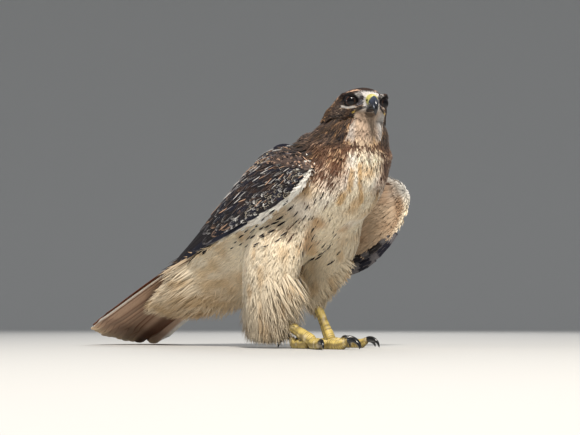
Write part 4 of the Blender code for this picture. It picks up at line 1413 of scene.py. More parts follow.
# The wings.
# Each wing from wrist to tip: its low and high edges, how far its outer face bows out, and how thick it is.
wingShape = {
    "right": {
        "low": [(87, -66, 204), (84, -76, 190), (70, -80, 178), (45, -79, 166), (-3, -76, 151),
                (-50, -69, 136), (-98, -57, 121), (-140, -46, 108), (-173, -38, 97), (-196, -32, 89),
                (-212, -27, 83)],
        "high": [(86, -62, 209), (78, -60, 217), (52, -48, 232), (14, -31, 242), (-30, -19, 233),
                 (-66, -12, 207), (-103, -10, 173), (-139, -10, 141), (-170, -12, 117), (-194, -14, 99),
                 (-212, -19, 87)],
        "bulge": [6, 13, 17, 18, 17, 16, 14, 10, 6, 3, 1],
        "thickness": [9, 16, 22, 24, 24, 22, 16, 9, 4, 2.5, 1.5], "side": 1.0},
    "left": {
        "low": [(112, 96, 192), (110, 111, 180), (97, 108, 150), (68, 92, 112), (30, 76, 98), (-20, 64, 94),
                (-80, 54, 95), (-126, 46, 94), (-166, 40, 91), (-193, 34, 87), (-210, 28, 82)],
        "high": [(110, 88, 202), (104, 84, 212), (76, 58, 228), (36, 34, 244), (-18, 20, 240), (-62, 13, 212),
                 (-103, 11, 175), (-139, 12, 142), (-170, 14, 117), (-193, 16, 99), (-210, 21, 87)],
        "bulge": [5, 10, 15, 22, 29, 30, 25, 15, 7, 4, 1],
        "thickness": [9, 12, 14, 20, 27, 28, 22, 11, 4, 2.5, 1.5], "side": -1.0},
    # the swell across a wing, the inner face's least depth, and the steps that its directions are read over
    "swell": (0.06, 0.88, 0.8), "innerShare": 0.3, "thinnest": 1.0, "stepU": 0.012, "stepV": 0.02,
}


# A wing's face at u from wrist to tip and v from low edge to high: the line between the edges, bowed out
# by bulge sin(pi (0.06 + 0.88 v))^0.8. The inner face lies under it by thickness (0.3 + 0.7 swell).
def wingFace(wing, u, v, inner=False):
    u = np.clip(u, 0, 1)
    step = wingShape["stepV"]
    low, high = smoothRows(wing["low"], u), smoothRows(wing["high"], u)
    ends = [smoothRows(np.add(wing["low"], wing["high"]), np.clip(u + d, 0, 1)) for d in (-step, step)]
    outward = unit(np.cross(high - low, ends[1] - ends[0])) * wing["side"]
    bow, deep = (smoothRows(np.array(wing[key])[:, None], u)[..., 0] for key in ("bulge", "thickness"))
    start, reach, power = wingShape["swell"]
    swell = np.sin(np.pi * (start + reach * np.clip(v, 0, 1))) ** power
    rise = bow * swell
    if inner:
        share = wingShape["innerShare"]
        rise = rise - np.maximum(deep * (share + (1 - share) * swell), wingShape["thinnest"])
    v = np.asarray(v)[..., None]
    return low * (1 - v) + high * v + outward * rise[..., None]


# The face's direction straight out and its direction towards the tip.
def wingFrame(wing, u, v, inner=False):
    du, dv = wingShape["stepU"], wingShape["stepV"]
    u = np.clip(u, du, 1 - du)
    ahead = wingFace(wing, u + du, v, inner) - wingFace(wing, u - du, v, inner)
    across = wingFace(wing, u, v + dv, inner) - wingFace(wing, u, v - dv, inner)
    out = unit(np.cross(across, ahead)) * wing["side"] * (-1 if inner else 1)
    return out, unit(ahead)


# Steps of u from 0 to 1, and how far along the wing's middle line each one is.
def wingRun(wing):
    table = np.linspace(0, 1, 101)
    middle = wingFace(wing, table, np.full(len(table), 0.5))
    return table, np.concatenate([[0], np.cumsum(np.linalg.norm(np.diff(middle, axis=0), axis=1))])


# Each feather's centre line: from its root at (u, v) it runs its length along the wing, drifting across
# by drift, and rises from the low height to the high one.
def layOnWing(wing, u, v, lengths, drifts, steps, heights, inner=False):
    table, run = wingRun(wing)
    reach = np.interp(u, table, run)[:, None] + lengths[:, None] * steps
    over = np.maximum(reach - run[-1], 0)
    where = np.interp(reach, run, table)
    across = v[:, None] + drifts[:, None] * steps
    out, ahead = wingFrame(wing, where, across, inner)
    place = wingFace(wing, where, across, inner) + ahead * over[..., None]
    rise = heights[0][:, None] + (heights[1] - heights[0])[:, None] * steps
    return place + out * rise[..., None], out


rootSpread = {"firstPlace": 0.25, "shifted": 0.5, "across": 0.12, "along": 0.004, "samples": 9,
              "least": 1e-4}


# Rows of roots from u start to end: each row lies pitch lengths on from the one before, and its
# roots stand packing widths apart. Every second row is shifted by half a place.
def rowsOfRoots(wing, spec, dice):
    look, found, row = rootSpread, [], 0
    table, run = wingRun(wing)
    u, last = spec["from"], spec["to"]
    while u < last:
        share = (u - spec["from"]) / (last - spec["from"])
        length, width = (start + (end - start) * share for start, end in (spec["length"], spec["width"]))
        lowV, highV = (np.interp(u, *zip(*spec[edge])) for edge in ("low", "high"))
        samples = look["samples"]
        line = wingFace(wing, np.full(samples, u), np.linspace(lowV, highV, samples))
        wide = np.linalg.norm(np.diff(line, axis=0), axis=1).sum()
        count = max(int(wide / (width * spec["packing"])), 1)
        places = (np.arange(count) + look["firstPlace"] + look["shifted"] * (row % 2)) / count
        places = np.clip(places + dice.normal(0, look["across"] / count, count), 0, 1)
        places = lowV + (highV - lowV) * places
        found.append(np.stack([u + dice.normal(0, look["along"], count), places, np.full(count, length),
                               np.full(count, width)], -1))
        ahead = np.interp(u, table, run) + length * spec["pitch"]
        u = float(np.interp(ahead, run, table)) + look["least"]
        row += 1
    return np.concatenate(found)


spearTip = {"steps": [0, 0.25, 0.5, 0.72, 0.9, 1.0], "profile": [0.5, 0.9, 1.0, 0.85, 0.45, 0.0]}
roundTip = {"steps": [0, 0.3, 0.6, 0.85, 0.96, 1.0], "profile": [0.6, 0.95, 1.0, 0.85, 0.5, 0.0]}
longTip = {"steps": [0, 0.15, 0.3, 0.45, 0.6, 0.75, 0.88, 0.96, 1.0],
           "profile": [0.5, 0.8, 0.95, 1.0, 1.0, 0.95, 0.78, 0.5, 0.0]}
# Tracts from the lowest layer to the highest. Lengths, widths and heights run from the first row to the
# last in millimetres. A mark is a colour, strength, side edge, tip band, raggedness, and then any dark
# streak along the shaft and any number of bars.
tractDefaults = {"drift": 0.0, "thin": 1.0, "marks": [("white", 0, 0, 0, 0)]}
wingTracts = {
    "primaries": {
        **longTip, "heights": (-2.4, -0.6), "drift": 0.03,
        "roots": [(0.50, 0.80, 92, 15), (0.50, 0.66, 104, 15), (0.50, 0.52, 116, 15), (0.50, 0.40, 126, 15),
                  (0.49, 0.28, 134, 15), (0.48, 0.16, 138, 14), (0.46, 0.06, 120, 13), (0.43, 0.00, 106, 12),
                  (0.40, -0.02, 84, 10)],
        "base": ["blueBlack", "blackBrown"], "marks": [("midGrey", 0.35, 0.05, 0.02, 0.1)]},
    "secondaries": {
        **longTip, "heights": (-2.4, -0.4),
        "roots": [(0.34, 0.10, 118, 15), (0.35, 0.22, 116, 16), (0.35, 0.34, 115, 17), (0.36, 0.46, 116, 18),
                  (0.37, 0.57, 122, 18), (0.38, 0.68, 128, 18), (0.39, 0.79, 134, 18), (0.40, 0.90, 138, 18),
                  (0.42, 0.98, 136, 15)],
        "base": ["blackBrown", "blueBlack", "darkBrown"],
        "marks": [("paleGrey", 0.6, 0.07, 0.04, 0.2), ("midGrey", 0.6, 0.07, 0.03, 0.2)]},
    "greaterCoverts": {
        **longTip, "from": 0.30, "to": 0.47, "low": [(0, 0.04)], "high": [(0, 0.84)], "length": (44, 62),
        "width": (10, 13), "pitch": 0.30, "packing": 0.62, "heights": (-1.8, 0.7),
        "base": ["blackBrown", "blueBlack", "blackBrown"],
        "marks": [("paleGrey", 0.6, 0.08, 0.02, 0.6), ("pinkBuff", 0.6, 0.10, 0.02, 0.7),
                  ("midGrey", 0.5, 0.08, 0.02, 0.5), ("midGrey", 0.2, 0.06, 0.03, 0.4)]},
    "medianCoverts": {
        **spearTip, "from": 0.11, "to": 0.37, "low": [(0.11, 0.20), (0.16, 0.06), (0.3, 0.02)],
        "high": [(0.1, 0.44), (0.2, 0.54), (0.37, 0.80)], "length": (22, 38), "width": (5.5, 9.0),
        "pitch": 0.26, "packing": 0.60, "heights": (-1.6, 1.3),
        "base": ["blackBrown", "blueBlack", "blackBrown", "darkBrown"],
        "marks": [("white", 0.6, 0.07, 0.0, 1.2), ("pinkBuff", 0.6, 0.10, 0.0, 1.0),
                  ("midGrey", 0.4, 0.08, 0.01, 1.0), ("midGrey", 0.3, 0.05, 0.02, 0.8),
                  ("midGrey", 0.15, 0.04, 0.02, 0.6), ("midGrey", 0.1, 0.04, 0.02, 0.6)]},
    "edgeCoverts": {
        **roundTip, "from": 0.07, "to": 0.40, "low": [(0.07, 0.26), (0.11, 0.12), (0.2, 0.03), (0.4, -0.02)],
        "high": [(0.07, 0.44), (0.22, 0.26), (0.4, 0.12)], "length": (8, 20), "width": (3.8, 8),
        "pitch": 0.42, "packing": 0.62, "heights": (-1.0, 1.5),
        "base": ["blackBrown", "blackBrown", "blueBlack"],
        "marks": [("white", 0.9, 0.05, 0.07, 1.2), ("cream", 0.7, 0.09, 0.0, 1.2),
                  ("midGrey", 0.2, 0.03, 0.03, 1.2), ("midGrey", 0.1, 0.03, 0.03, 1.2)]},
    "lesserCoverts": {
        **roundTip, "from": 0.055, "to": 0.33, "low": [(0.055, 0.34), (0.12, 0.46), (0.33, 0.66)],
        "high": [(0.045, 0.84), (0.33, 0.82)], "length": (7.0, 12), "width": (3.2, 4.8), "pitch": 0.40,
        "packing": 0.62, "heights": (-1.0, 1.3),
        "base": ["greyBrown", "greyBrown", "greyBrown", "blackBrown"],
        "marks": [("pinkBuff", 0.8, 0.0, 0.14, 1.8), ("darkBrown", 0.5, 0.0, 0.0, 0.8, 0.3),
                  ("darkBrown", 0.6, 0.0, 0.0, 0.6, 0.4), ("greyBrown", 0.3, 0.1, 0.05, 0.6)]},
    "scapulars": {
        **longTip, "from": 0.03, "to": 0.46, "low": [(0.03, 0.86), (0.2, 0.78), (0.46, 0.76)],
        "high": [(0.03, 1.02), (0.46, 1.03)], "length": (26, 58), "width": (7, 12), "pitch": 0.20,
        "packing": 0.50, "heights": (-1.4, 1.3), "base": ["blackBrown", "blueBlack", "blackBrown"],
        "marks": [("paleGrey", 0.9, 0.20, 0.03, 0.6), ("pinkBuff", 0.9, 0.22, 0.03, 0.6),
                  ("warmCream", 0.9, 0.20, 0.03, 0.5), ("midGrey", 0.3, 0.08, 0.03, 0.5)]},
    # the pale edges of single feathers, as thin vanes of their own
    "paleEdges": {
        **spearTip, "from": 0.10, "to": 0.48, "low": [(0.1, 0.16), (0.16, 0.08), (0.48, 0.05)],
        "high": [(0.1, 0.30), (0.2, 0.55), (0.3, 0.80), (0.48, 0.84)], "length": (7, 17),
        "width": (6.0, 10.0), "pitch": 0.85, "packing": 1.15, "thin": 0.16, "heights": (0.6, 2.0),
        "drift": -0.03, "base": ["midGrey", "pinkBuff", "paleGrey", "greyBrown"]},
    "scapularEdges": {
        **longTip, "from": 0.08, "to": 0.56, "low": [(0.08, 0.84), (0.3, 0.74), (0.56, 0.72)],
        "high": [(0.08, 1.0), (0.56, 1.0)], "length": (11, 26), "width": (5.5, 8.0), "pitch": 1.0,
        "packing": 1.3, "thin": 0.16, "heights": (0.4, 1.9), "drift": -0.02,
        "base": ["paleGrey", "pinkBuff", "midGrey"]},
    "edgeBars": {**longTip, "roots": [(0.36, 0.03, 64, 4.6)], "heights": (0.2, 1.4),
                 "base": ["blackBrown", "blackBrown"], "marks": [("paleGrey", 0.65, 0.0, 0.0, 0.9, 0.0, 7)]},
    # a dark band with grey bars low on the far wing's inner face, its base darkened to black as painted shade
    "lowStrip": {
        **longTip, "heights": (-0.6, 1.2), "drift": -0.01, "base": ["blueBlack", "blackBrown"],
        "roots": [(0.22, 0.03, 92, 9.0), (0.24, 0.085, 96, 9.5), (0.30, 0.00, 84, 9.0), (0.31, 0.06, 90, 9.0),
                  (0.36, 0.11, 70, 9.0)],
        "marks": [("midGrey", 0.55, 0.0, 0.0, 1.2, 0.0, 3.5), ("midGrey", 0.2, 0.0, 0.0, 1.2, 0.0, 3)]},
}
# How much single feathers of a tract differ, and their cross-section.
tractMix = {"length": (0.93, 1.07), "width": (0.92, 1.08), "height": 0.15, "drift": 0.03, "tone": (0.7, 1.35),
            "strength": (0.75, 1.05), "edge": (0.7, 1.3), "tip": (0.6, 1.3), "lean": (0.06, 0.16),
            "rootShade": 0.8, "ridge": 0.5, "cup": 0.14, "columns": 5}
# Nothing dark stands over the open wing's pale edge: u past which all vanes stay, the least u before
# that, the range of v there, and the least v of thin vanes.
openWing = {"past": 0.34, "from": 0.10, "low": 0.14, "high": 0.70, "thinLow": 0.3}


# Joins parts made of points, faces and values per point into one.
def joined(parts):
    points = np.concatenate([part["points"] for part in parts])
    starts = np.cumsum([0] + [len(part["points"]) for part in parts[:-1]])
    sets = {}
    for part, start in zip(parts, starts):
        for faces in part["faces"]:
            sets.setdefault(faces.shape[1], []).append(faces + start)
    keys = [key for key in parts[0] if key not in ("points", "faces")]
    values = {key: np.concatenate([part[key] for part in parts]) for key in keys}
    return points, [np.concatenate(faces) for faces in sets.values()], values


# The place on the skin's unwrap nearest to each point.
def nearestSpot(points, chosen):
    rows = np.nonzero(chosen)[0]
    found = nearest(points.astype(np.float32), skin["middle"][rows].astype(np.float32))
    return skin["map"][rows[found]].mean(1)


# One tract of a wing as vanes with their colours and markings.
def wingTract(wing, tract, chosen, dice, inner=False):
    spec, mix = {**tractDefaults, **tract}, tractMix
    roots = np.array(spec["roots"], float) if "roots" in spec else rowsOfRoots(wing, spec, dice)
    if wing["side"] < 0 and not inner:
        u, v = roots[:, 0], roots[:, 1]
        clear = (v < openWing["high"]) & (v > openWing["low"]) & (u > openWing["from"])
        clear &= (v > openWing["thinLow"]) | (spec["thin"] == 1.0)
        past = (u > openWing["past"]) & ((v > openWing["thinLow"]) | (spec["thin"] == 1.0))
        roots = roots[past | clear]
    count, steps, columns = len(roots), np.array(spec["steps"]), mix["columns"]
    lengths = roots[:, 2] * dice.uniform(*mix["length"], count)
    halves = roots[:, 3] / 2 * dice.uniform(*mix["width"], count) * spec["thin"]
    heights = [np.full(count, h) + dice.normal(0, mix["height"], count) for h in spec["heights"]]
    drifts = np.full(count, spec["drift"]) + dice.normal(0, mix["drift"], count)
    places, outs = layOnWing(wing, roots[:, 0], roots[:, 1], lengths, drifts, steps, heights, inner)
    points, faces = vaneShape(places, outs, halves, np.array(spec["profile"]), columns, mix["ridge"],
                              mix["cup"])
    base = np.array([ink(name) for name in spec["base"]])[dice.integers(0, len(spec["base"]), count)]
    # darker towards each root: painted shade under the feathers that lie over it
    shade = mix["rootShade"] + (1 - mix["rootShade"]) * steps[None, :, None]
    tint = base[:, None] * shade * dice.uniform(*mix["tone"], (count, 1, 1))
    table = np.zeros((len(spec["marks"]), 9))
    for row, (name, *numbers) in zip(table, spec["marks"]):
        row[:3] = ink(name)
        row[3:3 + len(numbers)] = numbers
    marks = table[dice.integers(0, len(table), count)]
    for column, key in ((3, "strength"), (4, "edge"), (5, "tip")):
        marks[:, column] *= dice.uniform(*mix[key], count)
    each = len(points) // count
    row = np.repeat(marks, each, axis=0)
    spots = vaneSpots(count, steps, columns)
    lean = np.repeat(dice.uniform(*mix["lean"], count) * dice.choice([-1, 1], count), each)
    return {"points": points, "faces": faces, "tint": np.clip(spread(tint, columns), 0, 1),
            "mark": row[:, :4], "pattern": row[:, [7, 4, 8]],
            "trim": np.stack([row[:, 5], row[:, 6], lean], -1),
            "OFBake": bakeSpots(nearestSpot(places[:, 1], chosen), spots), "vane": spots.reshape(-1, 2)}


# The nearest place on a wing: its u and v, whether it is the inner face, and the way to the tip there.
def nearestOnWing(wing, points):
    u, v = np.meshgrid(np.linspace(0, 1, 61), np.linspace(0, 1, 17), indexing="ij")
    u, v = u.ravel(), v.ravel()
    spots, ways, keys = [], [], []
    for inner in (False, True):
        spots.append(wingFace(wing, u, v, inner))
        ways.append(wingFrame(wing, u, v, inner)[1])
        keys.append(np.stack([u, v, np.full(len(u), float(inner))], -1))
    spots, ways, keys = (np.concatenate(part) for part in (spots, ways, keys))
    near = nearest(points, spots)
    return keys[near], ways[near]


# The white edge of each wing, from its low edge round the wrist to the top of its bend.
rimShape = {
    "right": {"line": [(0.50, 0.00), (0.40, 0.00), (0.30, 0.00), (0.20, 0.00), (0.12, 0.02), (0.07, 0.10),
                       (0.035, 0.30), (0.035, 0.50), (0.05, 0.64)],
              "radius": [0.5, 1.5, 4.0, 8.0, 11.5, 11.5, 9.0, 5.0, 2.5]},
    "left": {"line": [(0.36, 0.00), (0.28, 0.02), (0.20, 0.02), (0.12, 0.02), (0.06, 0.10), (0.03, 0.4),
                      (0.04, 0.8), (0.09, 0.93)],
             "radius": [4.0, 7.0, 10.0, 12.0, 14.0, 15.0, 13.0, 6.0]},
    "inward": 0.35,  # how far the line lies from the outer face towards the middle between both faces
    # no coat where the flight feathers lie: below stripV from stripFrom on, and everywhere past stripPast
    "stripV": 0.10, "stripFrom": {"right": 0.42, "left": 0.24}, "stripPast": 0.6,
}


# How far into the white edge a point is: 1 on its line, 0 at its radius, which changes along the line.
def rimShare(side, points):
    spec, wing = rimShape[side], wingShape[side]
    u, v = np.array(spec["line"]).T
    outer = wingFace(wing, u, v)
    between = (outer + wingFace(wing, u, v, True)) / 2
    line = between * rimShape["inward"] + outer * (1 - rimShape["inward"])
    best = np.zeros(points.shape[:-1])
    for k in range(len(line) - 1):
        way = line[k + 1] - line[k]
        t = np.clip((points - line[k]) @ way / (way @ way), 0, 1)
        far = np.linalg.norm(points - line[k] - t[..., None] * way, axis=-1)
        wide = spec["radius"][k] * (1 - t) + spec["radius"][k + 1] * t
        best = np.maximum(best, 1 - far / wide)
    return best


def dressWings(looks):
    for side in ("right", "left"):
        wing = wingShape[side]
        chosen = skin["owner"] == fleshNodes.index("wing_" + side)
        places = skin["middle"][chosen]
        keys, ways = nearestOnWing(wing, places)

        def flow(points, out):
            way = ways[nearest(points, places)]
            return unit(way - dot(way, out) * out)

        def overWing(mask):
            full = np.zeros(len(chosen), bool)
            full[chosen] = mask
            return full

        inward = overWing(keys[:, 2] > 0.5)
        rim = overWing(rimShare(side, places) > 0.0)
        lowEdge = (keys[:, 1] < rimShape["stripV"]) & (keys[:, 0] > rimShape["stripFrom"][side])
        strip = overWing(lowEdge | (keys[:, 0] > rimShape["stripPast"]))
        for name, mask in (("wingEdge", rim & ~strip), ("wingLining", inward & ~rim & ~strip)):
            coat(name + side.capitalize(), coatShape[name], mask, flow, looks["down"], "plumage_pale")


# Each wing's pieces, the tracts joined in each, and their look.
wingPieces = [
    ("flight", ("primaries", "secondaries"), "flight"),
    ("coverts", ("greaterCoverts", "medianCoverts", "edgeCoverts", "lesserCoverts"), "covert"),
    ("mantle", ("scapulars", "edgeBars", "paleEdges", "scapularEdges"), "covert"),
]
wingSeeds = {"right": 40, "left": 41}


def buildWings(looks):
    for side, seed in wingSeeds.items():
        dice = np.random.default_rng(seed)
        wing = wingShape[side]
        chosen = skin["owner"] == fleshNodes.index("wing_" + side)
        for name, tracts, look in wingPieces:
            parts = [wingTract(wing, wingTracts[t], chosen, dice) for t in tracts]
            if name == "mantle" and side == "left":
                parts.append(wingTract(wing, wingTracts["lowStrip"], chosen, dice, inner=True))
            points, faces, values = joined(parts)
            piece = putMesh(name + side.capitalize(), points, faces,
                            colours={key: values[key] for key in ("tint", "mark")},
                            vectors={key: values[key] for key in ("pattern", "trim")},
                            maps={key: values[key] for key in ("OFBake", "vane")})
            settle(piece, looks[look], "plumage_dark")
            print(piece.name, triangleCount(faces), "triangles")


# The tail: twelve flat feathers, the outer pair lowest and the middle pair on top.
tailShape = {
    "seed": 60, "root": (-124.0, 4.0, 113.0), "length": 223.0, "pitch": 29.0, "roll": (-25.0, -13.0),
    "count": 12, "spread": (35.0, 66.0), "half": (8.0, 15.0), "arch": 7.0, "layer": 0.55, "thickness": 0.5,
    "webDrop": 1.6, "outerShare": 0.30, "columns": 9, "rows": 16, "lowest": 0.5,
    "gap": 13.0, "gapAt": (0.7, 0.9),  # how far the feathers between these places move inwards
    # feathers that show past their neighbours: place across, step out, step up, width and length shares
    "extra": [(-1.0, -1.6, 1.4, 0.6, 0.95), (-1.0, -3.0, 2.6, 0.6, 0.90), (0.86, 0.0, 3.2, 0.8, 0.97)],
    "tipFrom": 0.86, "tipRound": 0.55, "tipShort": 0.055, "sideShort": 0.055, "lengths": (0.985, 1.0),
    "archFade": 0.45, "dropFade": 0.3, "innerRise": 0.8, "stepFade": 0.7, "rib": 0.55, "ribWidth": 0.07,
    "ribAbove": 0.6, "edgeThin": 0.6, "rollUntil": 0.8,
}


# Feather k has its centre at spread(u) times its share of the way across, from -1 to 1, and stands at
# arch (1 - share^2)(1 - 0.45 u), less a layer for each place outwards. Across it, the outer web drops by
# webDrop (away from the shaft)^2. Its end is rounded by c^2 and shorter towards the tail's sides. The
# whole tail is turned about its own length, by roll's first angle at the root and its second at the tips.
def tailFeathers(dice):
    shape = tailShape
    count, rows, columns = shape["count"], shape["rows"], shape["columns"]
    extra = np.array(shape["extra"])
    outStep, upStep, widthShare, lengthShare = (
        np.concatenate([np.full(count, start), extra[:, k]])[:, None, None]
        for k, start in ((1, 0.0), (2, 0.0), (3, 1.0), (4, 1.0)))
    u = np.linspace(0, 1, rows)[None, :, None] ** 0.9
    c = np.linspace(-1, 1, columns)[None, None, :]
    share = np.concatenate([np.linspace(-1, 1, count), extra[:, 0]])[:, None, None]
    outwards = np.sign(share)
    spreadAt = shape["spread"][0] + (shape["spread"][1] - shape["spread"][0]) * u**0.9
    half = shape["half"][0] + (shape["half"][1] - shape["half"][0]) * soft(0, 0.6, u)
    own = np.arange(len(share))[:, None, None] < count
    centre = share * (spreadAt - half)
    centre = centre - own * (share > shape["gapAt"][0]) * (share < shape["gapAt"][1]) * shape["gap"] * u
    centre = centre + outStep * (1 - u) ** 0.6 + np.where(own, 0, outwards * half * (1 - widthShare))
    half = half * widthShare
    wide = half * (1 - shape["tipRound"] * soft(shape["tipFrom"], 1.0, u) * np.abs(c) ** 2)
    long = shape["length"] * lengthShare * (1 - shape["sideShort"] * np.abs(share) ** 2.5)
    long = long * dice.uniform(*shape["lengths"], share.shape)
    x = -long * u * (1 - shape["tipShort"] * np.abs(c) ** 2.2 * u**6)
    y = centre + c * wide
    shaft = outwards * (1 - 2 * shape["outerShare"])
    fromShaft = np.maximum((c - shaft) * outwards, 0) / (2 * shape["outerShare"])
    inner = np.maximum((shaft - c) * outwards, 0) / 2
    place = np.abs(share) * (count - 1) / 2
    crown = shape["arch"] * (1 - (y / spreadAt).clip(-1, 1) ** 2) * (1 - shape["archFade"] * u)
    level = crown - place * shape["layer"] - shape["webDrop"] * fromShaft**2 * (1 - shape["dropFade"] * u)
    level = level + shape["innerRise"] * inner + upStep * (1 - shape["stepFade"] * u)
    rib = shape["rib"] * np.exp(-((c - shaft) / shape["ribWidth"]) ** 2) * (1 - u)
    thick = shape["thickness"] / 2 * (1 - shape["edgeThin"] * np.abs(c) ** 4)
    start, end = shape["roll"]
    roll = np.radians(start + (end - start) * np.minimum(u / shape["rollUntil"], 1))
    turn = turned(0, shape["pitch"])
    faces = []
    for lift in (thick + rib * shape["ribAbove"], -thick - rib):
        high = level + lift
        across, up = y * np.cos(roll) - high * np.sin(roll), y * np.sin(roll) + high * np.cos(roll)
        spot = np.stack(np.broadcast_arrays(x, across, up), -1) @ turn.T + np.array(shape["root"])
        spot[..., 2] = np.maximum(spot[..., 2], shape["lowest"] + (lift > 0) * shape["thickness"])
        faces.append(spot)
    return faces[0], faces[1], u, c, share


# The rim of a grid of points as one loop of numbers.
def rimOf(rows, columns):
    grid = np.arange(rows * columns).reshape(rows, columns)
    return np.concatenate([grid[0], grid[1:, -1], grid[-1, -2::-1], grid[-2:0:-1, 0]])


# Bands across the tail, on its upper and lower faces: a colour, how strong it is, and where along the
# feather it comes in and goes again, which for a pale tip is past its end.
tailPaint = {
    "upper": [("brown", 0.85, (0.86, 0.885), (0.94, 0.92)), ("warmCream", 0.8, (0.945, 0.97), (1.2, 1.1))],
    "under": [("brown", 0.35, (0.85, 0.88), (0.94, 0.925)), ("warmCream", 0.7, (0.95, 0.98), (1.2, 1.1))],
    "outerWeb": (0.25, 0.1), "outerFrom": 0.99, "tone": 0.07, "underTaupe": 0.45, "webUnder": 0.9,
    "shadowAt": (0.6, 0.9), "shadowAcross": (0.25, 0.6), "shadow": 0.85, "gapShadeReach": 0.10, "edge": 0.85,
    "everyOther": 0.35, "stripRufous": 0.5,
}


def tailBands(colour, bands, along):
    for name, strength, comes, goes in bands:
        colour = mixed(colour, ink(name), strength * soft(*comes, along) * soft(*goes, along))
    return colour


# The colours of the tail's upper and lower faces, by how far along and across each feather a point is.
def paintTail(along, across, share, dice):
    look = tailPaint
    count = len(along)
    own = np.arange(count)[:, None, None] < tailShape["count"]
    odd = (np.arange(count) % 2)[:, None, None]
    edge = (np.abs(share) > look["outerFrom"]) & own
    outerWeb = soft(*look["outerWeb"], np.where(share < 0, across, 1 - across)) * edge
    upper = tailBands(ink("rufous") + 0 * along[..., None], look["upper"], along)
    upper = mixed(upper, ink("cream"), outerWeb)
    tone = dice.normal(1.0, look["tone"], (count, 1, 1))
    under = mixed(ink("pinkBuff") * 0.95 + 0 * along[..., None], ink("taupe"), look["underTaupe"])
    under = tailBands(under, look["under"], along)
    # painted shadow: the feathers next to the gap darkened over their far side
    shadowed = (share > look["shadowAt"][0]) & (share < look["shadowAt"][1]) & own
    shadowed = look["shadow"] * shadowed * soft(*look["shadowAcross"], across)
    under = mixed(under, ink("rufousBrown") * 0.6, shadowed)
    # painted shade: darker along each feather's sides, between the feathers
    sides = np.exp(-(np.minimum(across, 1 - across) / look["gapShadeReach"]) ** 2)
    under = mixed(under, ink("rufousBrown") * 0.8, look["edge"] * sides)
    under = mixed(under, ink("taupe") * 0.55, look["everyOther"] * odd * (1 - edge))
    under = mixed(under, ink("white"), outerWeb * look["webUnder"])
    strips = mixed(ink("rufousBrown") + 0 * upper, ink("rufous") * 0.8, look["stripRufous"] * odd)
    upper = np.where(own[..., None], upper, strips)
    # painted shade: the feather seen in the gap is dark brown underneath
    strips = np.where(share[..., None] < 0, strips, ink("rufousBrown") * 0.7)
    under = np.where(own[..., None], under, strips)
    return np.clip(np.stack([upper * tone[..., None], under * tone[..., None]], 1).reshape(-1, 3), 0, 1)


def buildTail(material):
    dice = np.random.default_rng(tailShape["seed"])
    top, under, u, c, share = tailFeathers(dice)
    count, rows, columns = top.shape[:3]
    each = rows * columns
    quads = gridQuads(rows, columns)
    rim = rimOf(rows, columns)
    after = np.roll(rim, -1)
    # rows run backwards and columns to the left, so the grid's own turn faces up
    sides = np.stack([rim, rim + each, after + each, after], -1)
    one = np.concatenate([quads[:, ::-1], quads + each, sides[:, ::-1]])
    shift = (np.arange(count) * each * 2)[:, None, None]
    points = np.stack([top.reshape(count, each, 3), under.reshape(count, each, 3)], 1).reshape(-1, 3)
    along = np.broadcast_to(u, top.shape[:3])
    across = np.broadcast_to((c + 1) / 2, top.shape[:3])
    spots = np.stack([across, along], -1).reshape(count, 1, each, 2)
    spots = np.broadcast_to(spots, (count, 2, each, 2)).reshape(-1, 2)
    tint = paintTail(along, across, share, dice)
    # each feather's two faces have their own cells of the unwrap, six across and five up
    cell = np.arange(count * 2).reshape(count, 2, 1, 1)
    cells = np.stack([(cell % 6 + 0.08 + 0.84 * across[:, None].reshape(count, 1, each, 1)) / 6,
                      (cell // 6 + 0.04 + 0.92 * along[:, None].reshape(count, 1, each, 1)) / 5], -1)
    blank = np.zeros((len(points), 3))
    piece = putMesh("tailFeathers", points, [(one[None] + shift).reshape(-1, 4)],
                    colours={"tint": tint, "mark": np.zeros((len(points), 4))},
                    vectors={"pattern": blank, "trim": blank},
                    maps={"OFBake": cells.reshape(-1, 2), "vane": spots}, sharp=50.0)
    settle(piece, material, "tail_feathers", "tail")
    print("tail", len(points), "points")


# Smooth tubes through stations of (x, y, z, half width, up, down), as the solids' own.
# The ring at angle a stands at side cos(a) half + up sin(a) (up where sin is positive, down below).
# A taper narrows the upper half towards a ridge: half (1 - taper sin(a)).
def tubeRings(stations, rings, sides, upward=(0.0, 0.0, 1.0), taper=0.0):
    rows = smoothRows(stations, np.linspace(0, 1, rings))
    centre, sizes = rows[:, :3], np.maximum(rows[:, 3:], 0.02)
    ahead = unit(np.gradient(centre, axis=0))
    side = unit(np.cross(np.array(upward), ahead))
    up = np.cross(ahead, side)
    a = circle(sides)
    cos, sin = np.cos(a)[None, :, None], np.sin(a)[None, :, None]
    cos = cos * (1 - taper * np.maximum(sin, 0))
    high = np.where(sin > 0, sizes[:, 1][:, None, None], sizes[:, 2][:, None, None])
    ring = centre[:, None] + side[:, None] * cos * sizes[:, 0][:, None, None] + up[:, None] * sin * high
    return ring, centre, ahead


# Faces of closed rings of points whose two ends run to single points, numbered after all the rings.
def capFaces(rings, sides):
    j = np.arange(sides)
    k = (j + 1) % sides
    first, last = rings * sides, (rings - 1) * sides
    start = np.stack([np.full(sides, first), k, j], -1)
    end = np.stack([np.full(sides, first + 1), last + j, last + k], -1)
    return [gridQuads(rings, sides, closed=True), np.concatenate([start, end])]


# A tube's points and faces, each end drawn to a point that stands dome half widths out.
def tubeMesh(ring, centre, ahead, dome=0.35):
    rings, sides = ring.shape[:2]
    girth = [np.linalg.norm(ring[i] - centre[i], axis=1).min() for i in (0, -1)]
    ends = [centre[0] - ahead[0] * girth[0] * dome, centre[-1] + ahead[-1] * girth[1] * dome]
    return np.concatenate([ring.reshape(-1, 3), ends]), capFaces(rings, sides)


